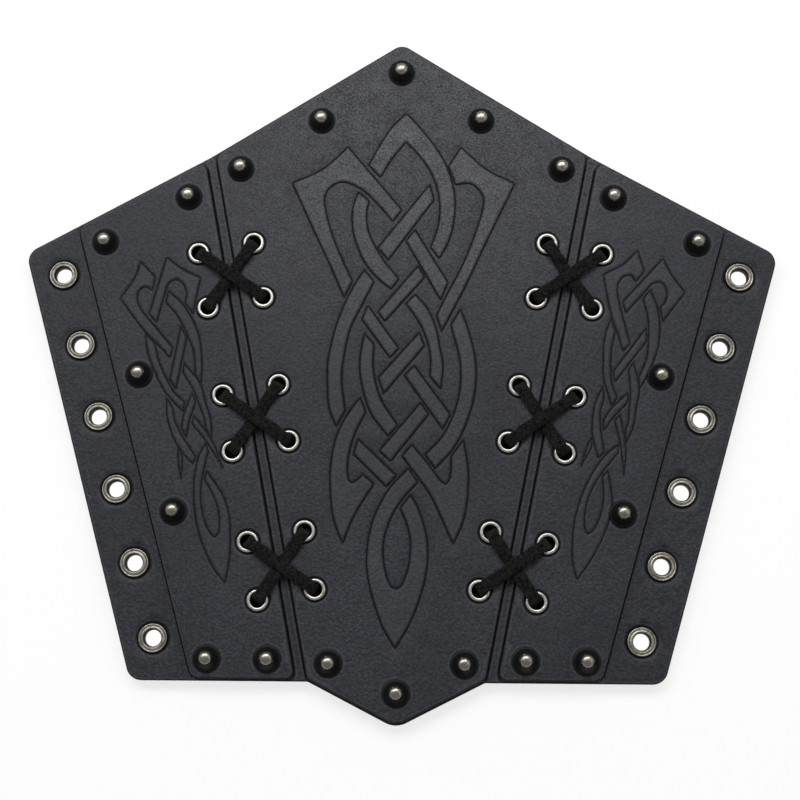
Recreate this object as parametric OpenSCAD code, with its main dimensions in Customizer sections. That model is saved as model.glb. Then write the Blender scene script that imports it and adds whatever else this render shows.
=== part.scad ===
// Leather forearm bracer, laid flat with its face up. Units are millimetres.
// X runs across the forearm, Y along it towards the elbow, Z out of the face.
// A base sheet carries three leather plates. Two laces cross the strips between
// the plates, cone studs clamp the layers, and eyelets line the outer margins.

/* [Outline] */
// Width over the outer corners at the elbow end, before they are rounded
elbow_w = 258.6; // [236:0.2:280]
// Width over the outer corners at the wrist end, before they are rounded
wrist_w = 175.2; // [160:0.2:190]
// Length from the elbow point to the wrist point, before they are rounded
length = 237; // [220:0.5:255]
// Height of the outer elbow corners above the wrist edge
side_l = 145.1; // [130:0.1:156]
// How far the wrist point stands below the wrist edge
wrist_drop = 14.8; // [8:0.1:20]
// Slope of the elbow edges on the centre part, in degrees
elbow_slope = 32.4; // [30:0.1:35]
// Rounding of the elbow point
elbow_point_r = 4.7; // [2:0.1:8]
// Rounding of the wrist point
wrist_point_r = 7.5; // [3:0.1:10]
// Rounding of the four outer corners
corner_r = 5.2; // [2:0.1:8]

/* [Seams and margins] */
// Distance from the middle to each seam at the wrist edge
seam_half = 31; // [27:0.1:35]
// Lean of each seam away from the arm's length, in degrees
seam_angle = 11.1; // [9:0.1:13]
// Width of the bare strip between a side plate and the centre plate
strip_w = 3.8; // [2.6:0.1:4.2]
// Width of the bare margin outside each side plate
margin_w = 19.8; // [17:0.1:22]
// Gap left in the base sheet along each fold
fold_gap = 0.3; // [0.2:0.05:0.4]
// Width of the channel left in the padded lining along each fold
fold_channel = 4.4; // [4.2:0.1:5]

/* [Leather] */
// Thickness of the padded lining
lining_t = 2.8; // [2.7:0.1:3.4]
// How far the lining stays inside the edge of the base sheet
lining_inset = 1; // [0.5:0.1:2]
// Thickness of the base sheet
base_t = 2; // [1.6:0.1:2.6]
// Thickness of the plates
plate_t = 1.6; // [1.4:0.1:2.6]
// How far the plates stay inside the edge of the base sheet
plate_inset = 0.7; // [0.3:0.1:1.5]
// Rounding of the plate corners beside the seams
plate_inner_r = 2.6; // [1:0.1:4]
// Rounding of the plate corners beside the margins
plate_outer_r = 4; // [2:0.1:6]

/* [Studs] */
// Radius of a cone stud at its foot
stud_r = 4.5; // [3.9:0.1:5]
// Height of a cone stud
stud_h = 5; // [4.6:0.1:7]
// Radius where the cone ends and the round tip starts
stud_tip_r = 2.2; // [1.6:0.1:2.6]
// Height of the round tip
stud_tip_h = 0.9; // [0.5:0.1:1]
// Distance of the stud at the elbow point from the sharp point
point_stud_d = 11.6; // [10:0.1:13]
// Distance of the stud at the wrist point from the sharp point
point_wrist_d = 11.1; // [9.5:0.1:13]
// Distance of the studs beside the seams from the elbow edges
stud_end_d = 9.8; // [8.5:0.1:11]
// Distance of the outer corner studs from the elbow edges
stud_shoulder_d = 10.2; // [8.5:0.1:11.5]
// Distance of the studs beside the wrist point from the V edges
stud_v_d = 8.3; // [7.2:0.1:9.5]
// Distance of the studs beside a seam from the edge of their plate
stud_seam_d = 7.8; // [7:0.1:9.5]
// Distance of the studs beside a margin from the edge of their plate
stud_margin_d = 7.9; // [7:0.1:9.2]
// Distance of the wrist corner studs from the margin edge of their plate
stud_corner_d = 6.6; // [6:0.1:9]
// Distance between the studs beside a margin
stud_pitch = 48.5; // [38:0.1:52]
// Distance of the wrist studs from the wrist edge
stud_wrist_d = 7.1; // [6.2:0.1:9]
// Radius of a stud screw
screw_r = 1.5; // [1.2:0.05:1.6]
// Length of the screw that stands in the stud
screw_grip = 3; // [2:0.1:3.2]
// Radius of the screw head
screw_head_r = 3.7; // [3:0.1:4.2]
// Thickness of the screw head
screw_head_t = 0.7; // [0.5:0.05:1]
// Width of the slot in the screw head
screw_slot_w = 0.9; // [0.6:0.05:1.2]

/* [Eyelets] */
// Bore radius of the small eyelets beside the seams
eyelet_bore_r = 2.4; // [2.35:0.05:2.8]
// Flange radius of the small eyelets
eyelet_flange_r = 3.8; // [3.6:0.05:4]
// Height of the small eyelets' domed flange
eyelet_dome_h = 0.8; // [0.5:0.05:1]
// Bore radius of the large eyelets in the margins
grommet_bore_r = 2.75; // [2.4:0.05:3]
// Flange radius of the large eyelets
grommet_flange_r = 5; // [4.4:0.05:5.4]
// Height of the large eyelets' domed flange
grommet_dome_h = 1; // [0.6:0.05:1.4]
// Wall of the eyelet barrels
eyelet_wall = 0.35; // [0.25:0.05:0.45]
// Thickness of the washers behind the leather
washer_t = 0.4; // [0.3:0.05:0.6]
// Outer radius of the washers behind the small eyelets
eyelet_washer_r = 4.3; // [4:0.1:4.8]
// Outer radius of the washers behind the large eyelets
grommet_washer_r = 4.9; // [4.6:0.1:5.6]
// Height of the barrel end that is rolled over the washer
roll_h = 0.3; // [0.2:0.05:0.4]
// How far the rolled end reaches over the washer
roll_w = 0.6; // [0.4:0.05:0.8]
// Number of large eyelets in each margin
grommet_count = 6; // [4:1:7]
// Distance of the large eyelets from the outer edge
grommet_edge_d = 10.8; // [8.5:0.1:12]
// Distance of the first and last large eyelet from the ends of the outer edge
grommet_end_d = 11.2; // [9:0.1:16]

/* [Laces] */
// Number of crosses on each seam
cross_count = 3; // [2:1:3]
// Distance from the wrist edge to the middle of the first cross
cross_first = 38.5; // [32:0.1:42]
// Distance between the crosses
cross_pitch = 50.6; // [44:0.1:52]
// Distance between the eyelets of a cross, over the seam
cross_w = 19.2; // [17:0.1:21]
// Distance between the eyelets of a cross, along the seam
cross_l = 19.7; // [17:0.1:22.5]
// Width of the lace
lace_w = 4.3; // [3.6:0.1:4.5]
// Thickness of the lace
lace_t = 1.2; // [1:0.05:1.3]

/* [Fits] */
// Clearance of the barrels and screws in the leather
hole_gap = 0.15; // [0.05:0.05:0.3]
// Radial clearance of a screw in its stud and of a barrel in its washer
metal_gap = 0.05; // [0.03:0.01:0.08]
// Clearance of the pockets and channels in the lining
pocket_gap = 0.3; // [0.2:0.05:0.5]
// Clearance above and below the lace
lace_gap = 0.15; // [0.1:0.05:0.2]

/* [Hidden] */

$fn = 48;
arc_steps = 8;
through = 1;

leather_colour = [0.24, 0.24, 0.26];
plate_colour = [0.29, 0.29, 0.31];
lining_colour = [0.72, 0.71, 0.68];
stud_colour = [0.12, 0.12, 0.12];
steel_colour = [0.55, 0.54, 0.52];
eyelet_colour = [0.72, 0.70, 0.65];
grommet_colour = [0.58, 0.55, 0.49];
lace_colour = [0.09, 0.09, 0.09];

// Levels of the layers
base_z = lining_t;
plate_z = base_z + base_t;
top_z = plate_z + plate_t;

// A line is a point and a direction. Each edge runs clockwise round the right
// half, so that an inset moves it into the leather.
function unit(v) = v / norm(v);
function line_between(p, q) = [p, unit(q - p)];
function inset(line, d) = [line[0] + d * [line[1][1], -line[1][0]], line[1]];
function meet(a, b) = a[0] + cross(b[0] - a[0], b[1]) / cross(a[1], b[1]) * a[1];

elbow_point = [0, length / 2];
wrist_point = [0, -length / 2];
wrist_y = wrist_point[1] + wrist_drop;
elbow_corner = [elbow_w / 2, wrist_y + side_l];
wrist_corner = [wrist_w / 2, wrist_y];

seam_foot = [seam_half, wrist_y];
seam_line = [seam_foot, [sin(seam_angle), cos(seam_angle)]];
elbow_line = [elbow_point, [cos(elbow_slope), -sin(elbow_slope)]];
shoulder_line = line_between(meet(elbow_line, seam_line), elbow_corner);
side_line = line_between(elbow_corner, wrist_corner);
wrist_line = [wrist_corner, [-1, 0]];
v_start = meet(wrist_line, inset(seam_line, -strip_w / 2));
v_line = line_between(v_start, wrist_point);
middle_line = [[0, 0], [0, 1]];

side_angle = atan2(elbow_corner[0] - wrist_corner[0], side_l);
side_len = norm(elbow_corner - wrist_corner);
// The margin folds just outside the edge of its side plate
fold_d = margin_w - fold_gap;

// The arc that rounds corner p between its neighbours a and b
function corner_arc(a, p, b, r) =
    let(u = unit(a - p), v = unit(b - p), half = acos(u * v) / 2)
    let(mid = p + unit(u + v) * r / sin(half), t = r / tan(half))
    let(start = p + u * t - mid, turn = (90 - half) * 2)
    let(way = cross(u, v) > 0 ? -1 : 1)
    [for (i = [0:arc_steps]) let(k = way * turn * i / arc_steps)
        mid + [start[0] * cos(k) - start[1] * sin(k), start[0] * sin(k) + start[1] * cos(k)]];

function rounded(pts, radii) =
    let(n = len(pts))
    [for (i = [0:n - 1]) each radii[i] > 0
        ? corner_arc(pts[(i + n - 1) % n], pts[i], pts[(i + 1) % n], radii[i])
        : [pts[i]]];

// A shape that is the same on both sides of the middle: its right half runs
// from the elbow point to the wrist point
function both_sides(half) =
    let(last = len(half) - 1)
    concat(half, [for (i = [last - 1:-1:1]) [-half[i][0], half[i][1]]]);

function both_radii(half) =
    let(last = len(half) - 1)
    concat(half, [for (i = [last - 1:-1:1]) half[i]]);

// Sheet between the two seams, d inside the outline and w short of the seams
module centre_sheet(d, w, z, h) {
    half = [meet(inset(elbow_line, d), middle_line),
            meet(inset(elbow_line, d), inset(seam_line, -w)),
            meet(inset(wrist_line, d), inset(seam_line, -w)),
            meet(inset(wrist_line, d), inset(v_line, d)),
            meet(inset(v_line, d), middle_line)];
    radii = [elbow_point_r, 0, 0, 0, wrist_point_r];
    translate([0, 0, z]) linear_extrude(h) polygon(rounded(both_sides(half), both_radii(radii)));
}

// Sheet between the right seam and the right margin
module wing_sheet(d, seam_w, side_w, radii, z, h) {
    pts = [meet(inset(shoulder_line, d), inset(seam_line, seam_w)),
           meet(inset(shoulder_line, d), inset(side_line, side_w)),
           meet(inset(wrist_line, d), inset(side_line, side_w)),
           meet(inset(wrist_line, d), inset(seam_line, seam_w))];
    translate([0, 0, z]) linear_extrude(h) polygon(rounded(pts, radii));
}

// Sheet outside the right margin's fold
module margin_sheet(d, fold_w, z, h) {
    pts = [meet(inset(shoulder_line, d), inset(side_line, fold_w)),
           meet(inset(shoulder_line, d), inset(side_line, d)),
           meet(inset(wrist_line, d), inset(side_line, d)),
           meet(inset(wrist_line, d), inset(side_line, fold_w))];
    translate([0, 0, z]) linear_extrude(h) polygon(rounded(pts, [0, corner_r, corner_r, 0]));
}

// Moves its children into the right seam's own frame: x over it, y along it
module in_seam() {
    translate([seam_foot[0], seam_foot[1], 0]) rotate([0, 0, -seam_angle]) children();
}

// Moves its children into the right edge's own frame: x outwards, y along it
module in_side() {
    translate([wrist_corner[0], wrist_corner[1], 0]) rotate([0, 0, -side_angle]) children();
}

// Draws its children on the right and again, mirrored, on the left
module on_both_sides() {
    children();
    mirror([1, 0, 0]) children();
}

cross_mid = [for (i = [0:cross_count - 1]) cross_first + i * cross_pitch];
cross_last = cross_count - 1;

// Small eyelets of one column: side is -1 on the centre plate, 1 on the side plate
module at_eyelets(side) {
    in_seam() for (y = cross_mid, end = [-1, 1])
        translate([side * cross_w / 2, y + end * cross_l / 2, 0]) children();
}

grommet_pitch = (side_len - 2 * grommet_end_d) / (grommet_count - 1);

module at_grommets() {
    in_side() for (i = [0:grommet_count - 1])
        translate([-grommet_edge_d, grommet_end_d + i * grommet_pitch, 0]) children();
}

// Stud places on the centre plate, right of the middle
centre_seam_row = inset(seam_line, -strip_w / 2 - stud_seam_d);
elbow_stud = elbow_point - [0, point_stud_d];
wrist_stud = wrist_point + [0, point_wrist_d];
centre_corner_stud = meet(inset(elbow_line, stud_end_d), centre_seam_row);
centre_right_studs = [(elbow_stud + centre_corner_stud) / 2,
                      centre_corner_stud,
                      meet(inset(v_line, stud_v_d), centre_seam_row)];

// Stud places on the right side plate
wing_seam_row = inset(seam_line, strip_w / 2 + stud_seam_d);
wing_margin_row = inset(side_line, margin_w + stud_margin_d);
wing_wrist_row = inset(wrist_line, stud_wrist_d);
wing_corner_stud = meet(inset(shoulder_line, stud_shoulder_d), wing_margin_row);
wing_studs = [meet(inset(shoulder_line, stud_end_d), wing_seam_row),
              wing_corner_stud,
              wing_corner_stud + stud_pitch * side_line[1],
              wing_corner_stud + 2 * stud_pitch * side_line[1],
              meet(wing_wrist_row, inset(side_line, margin_w + stud_corner_d)),
              meet(wing_wrist_row, wing_seam_row)];

module at_points(pts) {
    for (p = pts) translate([p[0], p[1], 0]) children();
}

module at_centre_studs() {
    at_points([elbow_stud, wrist_stud]) children();
    on_both_sides() at_points(centre_right_studs) children();
}

module at_centre_eyelets() {
    on_both_sides() at_eyelets(-1) children();
}

module at_left() {
    mirror([1, 0, 0]) children();
}

// Hardware
eyelet_barrel_r = eyelet_bore_r + eyelet_wall;
grommet_barrel_r = grommet_bore_r + eyelet_wall;
back_h = washer_t + roll_h;

// A barrel with a domed flange on the face and a rolled end over its washer
module eyelet(bore_r, flange_r, dome_h, face_z) {
    barrel_r = bore_r + eyelet_wall;
    dome_mid = (bore_r + flange_r) / 2;
    dome_half = (flange_r - bore_r) / 2;
    dome = [for (i = [0:arc_steps]) let(a = 180 * i / arc_steps)
        [dome_mid + dome_half * cos(a), face_z + dome_h * sin(a)]];
    rotate_extrude() polygon(concat(
        [[barrel_r, base_z - washer_t], [barrel_r, face_z]],
        dome,
        [[bore_r, base_z - back_h],
         [barrel_r + roll_w / 2, base_z - back_h],
         [barrel_r + roll_w, base_z - washer_t]]));
}

module washer(barrel_r, outer_r) {
    translate([0, 0, base_z - washer_t]) difference() {
        cylinder(h = washer_t, r = outer_r);
        translate([0, 0, -through]) cylinder(h = washer_t + 2 * through, r = barrel_r + metal_gap);
    }
}

stud_foot_h = 0.5;

// A cone stud with a short straight foot, a round tip and a blind screw hole
module stud() {
    tip = [for (i = [0:arc_steps]) let(a = 90 * i / arc_steps)
        [stud_tip_r * cos(a), stud_h - stud_tip_h + stud_tip_h * sin(a)]];
    translate([0, 0, top_z]) difference() {
        rotate_extrude() polygon(concat([[0, 0], [stud_r, 0], [stud_r, stud_foot_h]], tip));
        translate([0, 0, -through])
            cylinder(h = screw_grip + pocket_gap + through, r = screw_r + metal_gap);
    }
}

module stud_screw() {
    difference() {
        union() {
            translate([0, 0, base_z - screw_head_t]) cylinder(h = screw_head_t, r = screw_head_r);
            translate([0, 0, base_z]) cylinder(h = base_t + plate_t + screw_grip, r = screw_r);
        }
        translate([-screw_head_r - through, -screw_slot_w / 2, base_z - screw_head_t - through])
            cube([2 * screw_head_r + 2 * through, screw_slot_w, through + screw_head_t / 2]);
    }
}

// Holes through the base sheet and the plates
module eyelet_hole() {
    cylinder(h = top_z + through, r = eyelet_barrel_r + hole_gap);
}

module grommet_hole() {
    cylinder(h = top_z + through, r = grommet_barrel_r + hole_gap);
}

module screw_hole() {
    cylinder(h = top_z + through, r = screw_r + hole_gap);
}

// Laces. One closed lace works each seam: it crosses over the strip on the face,
// goes down each eyelet, and runs to the next cross behind the base sheet.
lace_front_z = top_z + eyelet_dome_h + lace_gap + lace_t / 2;
lace_under_z = top_z + lace_gap + lace_t / 2;
lace_over_z = lace_under_z + lace_t + lace_gap;
lace_back_z = base_z - back_h - lace_gap - lace_t / 2;
// The lace lies flat up to lace_lead from an eyelet's middle, then turns into it
lace_lead = 3.9;
lace_turn_run = 2.3;
lace_turn_drop = 2.2;
turn_steps = 3;
front_turn = concat([[lace_lead, 0]], [for (i = [0:turn_steps]) let(a = 90 * i / turn_steps)
    [lace_turn_run * (1 - sin(a)), lace_turn_drop * (cos(a) - 1)]]);
back_turn = [for (i = [turn_steps + 1:-1:0]) [front_turn[i][0], -front_turn[i][1]]];
cross_flat = lace_w;

// Down through the eyelet at e, from the strap towards a to the run towards b
function pass_down(e, a, b, front_turned, back_turned) = concat(
    [for (s = front_turn) [e[0] + s[0] * a[0], e[1] + s[0] * a[1], lace_front_z + s[1], front_turned]],
    [for (s = back_turn) [e[0] + s[0] * b[0], e[1] + s[0] * b[1], lace_back_z + s[1], back_turned]]);

function reversed(pts) = [for (i = [len(pts) - 1:-1:0]) pts[i]];

function pass_up(e, a, b, front_turned, back_turned) =
    reversed(pass_down(e, a, b, front_turned, back_turned));

// The flat stretch in the middle of a strap that crosses from p to q
function strap_middle(p, q, z, turned) =
    let(mid = (p + q) / 2, u = unit(q - p))
    [for (k = [-1, 1]) [mid[0] + k * cross_flat * u[0], mid[1] + k * cross_flat * u[1], z, turned]];

// Eyelet of cross i: side -1 or 1 over the seam, end -1 or 1 along it
function eyelet_at(i, side, end) = [side * cross_w / 2, cross_mid[i] + end * cross_l / 2];

lace_lean = atan2(cross_w, cross_l);

// One way along the seam, from the elbow end to the wrist end. The strap of
// every second cross lies over the other one.
function lace_way(first_side) =
    [for (k = [0:cross_last])
        let(i = cross_last - k, side = first_side * (k % 2 == 0 ? 1 : -1))
        let(p = eyelet_at(i, side, 1), q = eyelet_at(i, -side, -1), u = unit(q - p))
        let(back_in = k == 0 ? [-side, 0] : [0, 1])
        let(back_out = k == cross_last ? [side, 0] : [0, -1])
        let(over = side > 0, flat_turn = side < 0 ? lace_lean : -lace_lean)
        let(in_turn = k == 0 ? (side < 0 ? 90 : -90) : 0)
        let(out_turn = k == cross_last ? (side < 0 ? 90 : -90) : 0)
        each concat(
            pass_up(p, u, back_in, flat_turn, in_turn),
            strap_middle(p, q, over ? lace_over_z : lace_under_z, flat_turn),
            pass_down(q, -u, back_out, flat_turn, out_turn))];

// The whole loop: down the seam one way and back up the other way
function lace_loop() = concat(lace_way(-1), reversed([for (s = lace_way(1)) [s[0], s[1], s[2], s[3] + 180]]));

// Eight-sided section of the lace: across it and through it
lace_edge = lace_t / 4;
lace_section = [[lace_w / 2, -lace_edge], [lace_w / 2, lace_edge],
                [lace_w / 2 - lace_edge, lace_t / 2], [-lace_w / 2 + lace_edge, lace_t / 2],
                [-lace_w / 2, lace_edge], [-lace_w / 2, -lace_edge],
                [-lace_w / 2 + lace_edge, -lace_t / 2], [lace_w / 2 - lace_edge, -lace_t / 2]];

function point_of(s) = [s[0], s[1], s[2]];

module lace() {
    loop = lace_loop();
    n = len(loop);
    m = len(lace_section);
    pts = [for (i = [0:n - 1])
        let(here = point_of(loop[i]))
        let(before = point_of(loop[(i + n - 1) % n]), after = point_of(loop[(i + 1) % n]))
        let(wide = [cos(loop[i][3]), sin(loop[i][3]), 0])
        let(along = unit(unit(after - here) + unit(here - before)))
        let(thick = unit(cross(along, wide)))
        each [for (c = lace_section) here + c[0] * wide + c[1] * thick]];
    faces = [for (i = [0:n - 1], j = [0:m - 1])
        let(a = i * m + j, b = i * m + (j + 1) % m)
        let(c = ((i + 1) % n) * m + (j + 1) % m, d = ((i + 1) % n) * m + j)
        each [[a, b, c], [a, c, d]]];
    in_seam() polyhedron(points = pts, faces = faces);
}

// Channels in the lining for the runs of the lace behind the base sheet
module lace_channels() {
    floor_z = lace_back_z - lace_t / 2 - lace_gap;
    half = lace_w / 2 + pocket_gap;
    reach = eyelet_bore_r + pocket_gap;
    in_seam() translate([0, 0, floor_z]) {
        for (side = [-1, 1], i = [0:cross_last - 1])
            translate([side * cross_w / 2 - half, cross_mid[i] + cross_l / 2 - reach, 0])
                cube([2 * half, cross_pitch - cross_l + 2 * reach, base_z]);
        for (y = [cross_mid[0] - cross_l / 2, cross_mid[cross_last] + cross_l / 2])
            translate([-cross_w / 2 - reach, y - half, 0])
                cube([cross_w + 2 * reach, 2 * half, base_z]);
    }
}

module washer_pocket() {
    translate([0, 0, base_z - back_h - lace_gap])
        cylinder(h = back_h + through, r = eyelet_washer_r + pocket_gap);
}

module screw_pocket() {
    translate([0, 0, base_z - screw_head_t - pocket_gap / 2])
        cylinder(h = screw_head_t + through, r = screw_head_r + pocket_gap);
}

// Base sheet
module base_centre() {
    color(leather_colour) difference() {
        centre_sheet(0, fold_gap / 2, base_z, base_t);
        at_centre_eyelets() eyelet_hole();
        at_centre_studs() screw_hole();
    }
}

module base_right() {
    color(leather_colour) difference() {
        wing_sheet(0, fold_gap / 2, fold_d + fold_gap / 2, [0, 0, 0, 0], base_z, base_t);
        at_eyelets(1) eyelet_hole();
        at_points(wing_studs) screw_hole();
    }
}

module base_right_margin() {
    color(leather_colour) difference() {
        margin_sheet(0, fold_d - fold_gap / 2, base_z, base_t);
        at_grommets() grommet_hole();
    }
}

module base_left() {
    at_left() base_right();
}

module base_left_margin() {
    at_left() base_right_margin();
}

// Plates
module centre_plate() {
    half = [meet(inset(elbow_line, plate_inset), middle_line),
            meet(inset(elbow_line, plate_inset), inset(seam_line, -strip_w / 2)),
            meet(inset(v_line, plate_inset), inset(seam_line, -strip_w / 2)),
            meet(inset(v_line, plate_inset), middle_line)];
    radii = [elbow_point_r, plate_outer_r, plate_inner_r, wrist_point_r];
    color(plate_colour) difference() {
        translate([0, 0, plate_z]) linear_extrude(plate_t)
            polygon(rounded(both_sides(half), both_radii(radii)));
        at_centre_eyelets() eyelet_hole();
        at_centre_studs() screw_hole();
    }
}

module right_plate() {
    radii = [plate_inner_r, plate_outer_r, plate_outer_r, plate_inner_r];
    color(plate_colour) difference() {
        wing_sheet(plate_inset, strip_w / 2, margin_w, radii, plate_z, plate_t);
        at_eyelets(1) eyelet_hole();
        at_points(wing_studs) screw_hole();
    }
}

module left_plate() {
    at_left() right_plate();
}

// Lining
module lining_centre() {
    color(lining_colour) difference() {
        centre_sheet(lining_inset, fold_channel / 2, 0, lining_t);
        on_both_sides() lace_channels();
        at_centre_eyelets() washer_pocket();
        at_centre_studs() screw_pocket();
    }
}

module lining_right() {
    color(lining_colour) difference() {
        wing_sheet(lining_inset, fold_channel / 2, fold_d + fold_channel / 2, [0, 0, 0, 0], 0, lining_t);
        lace_channels();
        at_eyelets(1) washer_pocket();
        at_points(wing_studs) screw_pocket();
    }
}

module lining_right_margin() {
    color(lining_colour) difference() {
        margin_sheet(lining_inset, fold_d - fold_channel / 2, 0, lining_t);
        at_grommets() translate([0, 0, -through])
            cylinder(h = lining_t + 2 * through, r = grommet_washer_r + pocket_gap);
    }
}

module lining_left() {
    at_left() lining_right();
}

module lining_left_margin() {
    at_left() lining_right_margin();
}

// Studs and their screws
module centre_studs() {
    color(stud_colour) at_centre_studs() stud();
}

module right_studs() {
    color(stud_colour) at_points(wing_studs) stud();
}

module left_studs() {
    at_left() right_studs();
}

module centre_stud_screws() {
    color(steel_colour) at_centre_studs() stud_screw();
}

module right_stud_screws() {
    color(steel_colour) at_points(wing_studs) stud_screw();
}

module left_stud_screws() {
    at_left() right_stud_screws();
}

// Small eyelets and their washers
module small_eyelet() {
    eyelet(eyelet_bore_r, eyelet_flange_r, eyelet_dome_h, top_z);
}

module centre_eyelets() {
    color(eyelet_colour) at_centre_eyelets() small_eyelet();
}

module right_eyelets() {
    color(eyelet_colour) at_eyelets(1) small_eyelet();
}

module left_eyelets() {
    at_left() right_eyelets();
}

module centre_eyelet_washers() {
    color(eyelet_colour) at_centre_eyelets() washer(eyelet_barrel_r, eyelet_washer_r);
}

module right_eyelet_washers() {
    color(eyelet_colour) at_eyelets(1) washer(eyelet_barrel_r, eyelet_washer_r);
}

module left_eyelet_washers() {
    at_left() right_eyelet_washers();
}

// Large eyelets and their washers
module right_grommets() {
    color(grommet_colour) at_grommets()
        eyelet(grommet_bore_r, grommet_flange_r, grommet_dome_h, plate_z);
}

module left_grommets() {
    at_left() right_grommets();
}

module right_grommet_washers() {
    color(grommet_colour) at_grommets() washer(grommet_barrel_r, grommet_washer_r);
}

module left_grommet_washers() {
    at_left() right_grommet_washers();
}

// Laces
module right_lace() {
    color(lace_colour) lace();
}

module left_lace() {
    at_left() right_lace();
}

base_centre();
base_left();
base_right();
base_left_margin();
base_right_margin();
centre_plate();
left_plate();
right_plate();
lining_centre();
lining_left();
lining_right();
lining_left_margin();
lining_right_margin();
centre_studs();
left_studs();
right_studs();
centre_stud_screws();
left_stud_screws();
right_stud_screws();
centre_eyelets();
left_eyelets();
right_eyelets();
centre_eyelet_washers();
left_eyelet_washers();
right_eyelet_washers();
left_grommets();
right_grommets();
left_grommet_washers();
right_grommet_washers();
left_lace();
right_lace();
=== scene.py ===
import math

import bmesh
import bpy
import numpy as np
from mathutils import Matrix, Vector, kdtree
from mathutils.geometry import delaunay_2d_cdt


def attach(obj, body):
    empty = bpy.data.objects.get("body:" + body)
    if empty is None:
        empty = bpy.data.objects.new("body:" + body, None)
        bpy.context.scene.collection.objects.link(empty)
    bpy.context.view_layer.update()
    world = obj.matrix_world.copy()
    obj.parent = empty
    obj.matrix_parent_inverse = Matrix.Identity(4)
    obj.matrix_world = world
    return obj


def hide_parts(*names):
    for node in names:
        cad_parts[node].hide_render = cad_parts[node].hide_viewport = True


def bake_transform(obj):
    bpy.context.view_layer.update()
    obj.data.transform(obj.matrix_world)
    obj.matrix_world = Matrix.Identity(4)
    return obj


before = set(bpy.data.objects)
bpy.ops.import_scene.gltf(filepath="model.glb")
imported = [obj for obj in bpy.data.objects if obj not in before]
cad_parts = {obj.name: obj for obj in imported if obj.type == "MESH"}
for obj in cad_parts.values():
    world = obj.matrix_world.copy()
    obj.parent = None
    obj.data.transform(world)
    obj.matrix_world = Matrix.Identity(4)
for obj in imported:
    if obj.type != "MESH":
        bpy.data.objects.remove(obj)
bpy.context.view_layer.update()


# Camera. It looks down on the face of the bracer from a little towards the wrist,
# with a long lens, and frames the whole piece with a narrow white rim round it.
def placed(name, data):
    """A new object in the scene."""
    obj = bpy.data.objects.new(name, data)
    bpy.context.scene.collection.objects.link(obj)
    return obj


camera = placed("camera", bpy.data.cameras.new("camera"))
camera.data.lens = 74.96
camera.data.sensor_width = 36
camera.location = (0.01327, -0.11917, 0.5568)
camera.rotation_euler = (0.19616, 0.02141, 0.00936)
bpy.context.scene.camera = camera

# Base sheet. A single piece of black-grey leather, 2 mm thick, carries all else.
# It is cut to shape, punched for screws and eyelets, and its edges are rubbed
# round. It bends along two seams and along the two lines beside the margins.
MM = 0.001
ELBOW_W, WRIST_W, LENGTH, SIDE_L, WRIST_DROP = 258.6, 175.2, 237.0, 145.1, 14.8
ELBOW_SLOPE, SEAM_HALF, SEAM_ANGLE = math.radians(32.4), 31.0, math.radians(11.1)
ELBOW_POINT_R, WRIST_POINT_R, CORNER_R = 4.7, 7.5, 5.2
STRIP_W, MARGIN_W, FOLD_GAP = 3.8, 19.8, 0.3
LINING_T, BASE_T, PLATE_T = 2.8, 2.0, 1.6
PLATE_Z = LINING_T + BASE_T
TOP_Z = PLATE_Z + PLATE_T
SPLIT = 15.0        # layers are modelled in parts that meet this far from the seams


def units(v):
    """Vectors brought to a length of 1."""
    return v / np.linalg.norm(v, axis=-1, keepdims=True)


def line_between(p, q):
    return p, units(q - p)


def right_of(line):
    """The direction square to a line, to its right, where the leather lies."""
    return np.array([line[1][1], -line[1][0]])


def inset(line, d):
    """The line moved d into the leather."""
    return line[0] + d * right_of(line), line[1]


def across(u, v):
    return u[0] * v[1] - u[1] * v[0]


def meet(a, b):
    """Where two lines cross."""
    return a[0] + across(b[0] - a[0], b[1]) / across(a[1], b[1]) * a[1]


elbow_point, wrist_point = np.array([0, LENGTH / 2]), np.array([0, -LENGTH / 2])
wrist_y = WRIST_DROP - LENGTH / 2
elbow_corner = np.array([ELBOW_W / 2, wrist_y + SIDE_L])
wrist_corner = np.array([WRIST_W / 2, wrist_y])
middle_line = np.array([0.0, 0.0]), np.array([0.0, 1.0])
seam_line = (np.array([SEAM_HALF, wrist_y]),
             np.array([math.sin(SEAM_ANGLE), math.cos(SEAM_ANGLE)]))
elbow_line = elbow_point, np.array([math.cos(ELBOW_SLOPE), -math.sin(ELBOW_SLOPE)])
shoulder_line = line_between(meet(elbow_line, seam_line), elbow_corner)
side_line = line_between(elbow_corner, wrist_corner)
wrist_line = wrist_corner, np.array([-1.0, 0.0])
v_line = line_between(meet(wrist_line, inset(seam_line, -STRIP_W / 2)), wrist_point)
margin_fold = inset(side_line, MARGIN_W - FOLD_GAP)
split_in, split_out = inset(seam_line, -SPLIT), inset(seam_line, SPLIT)


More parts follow.
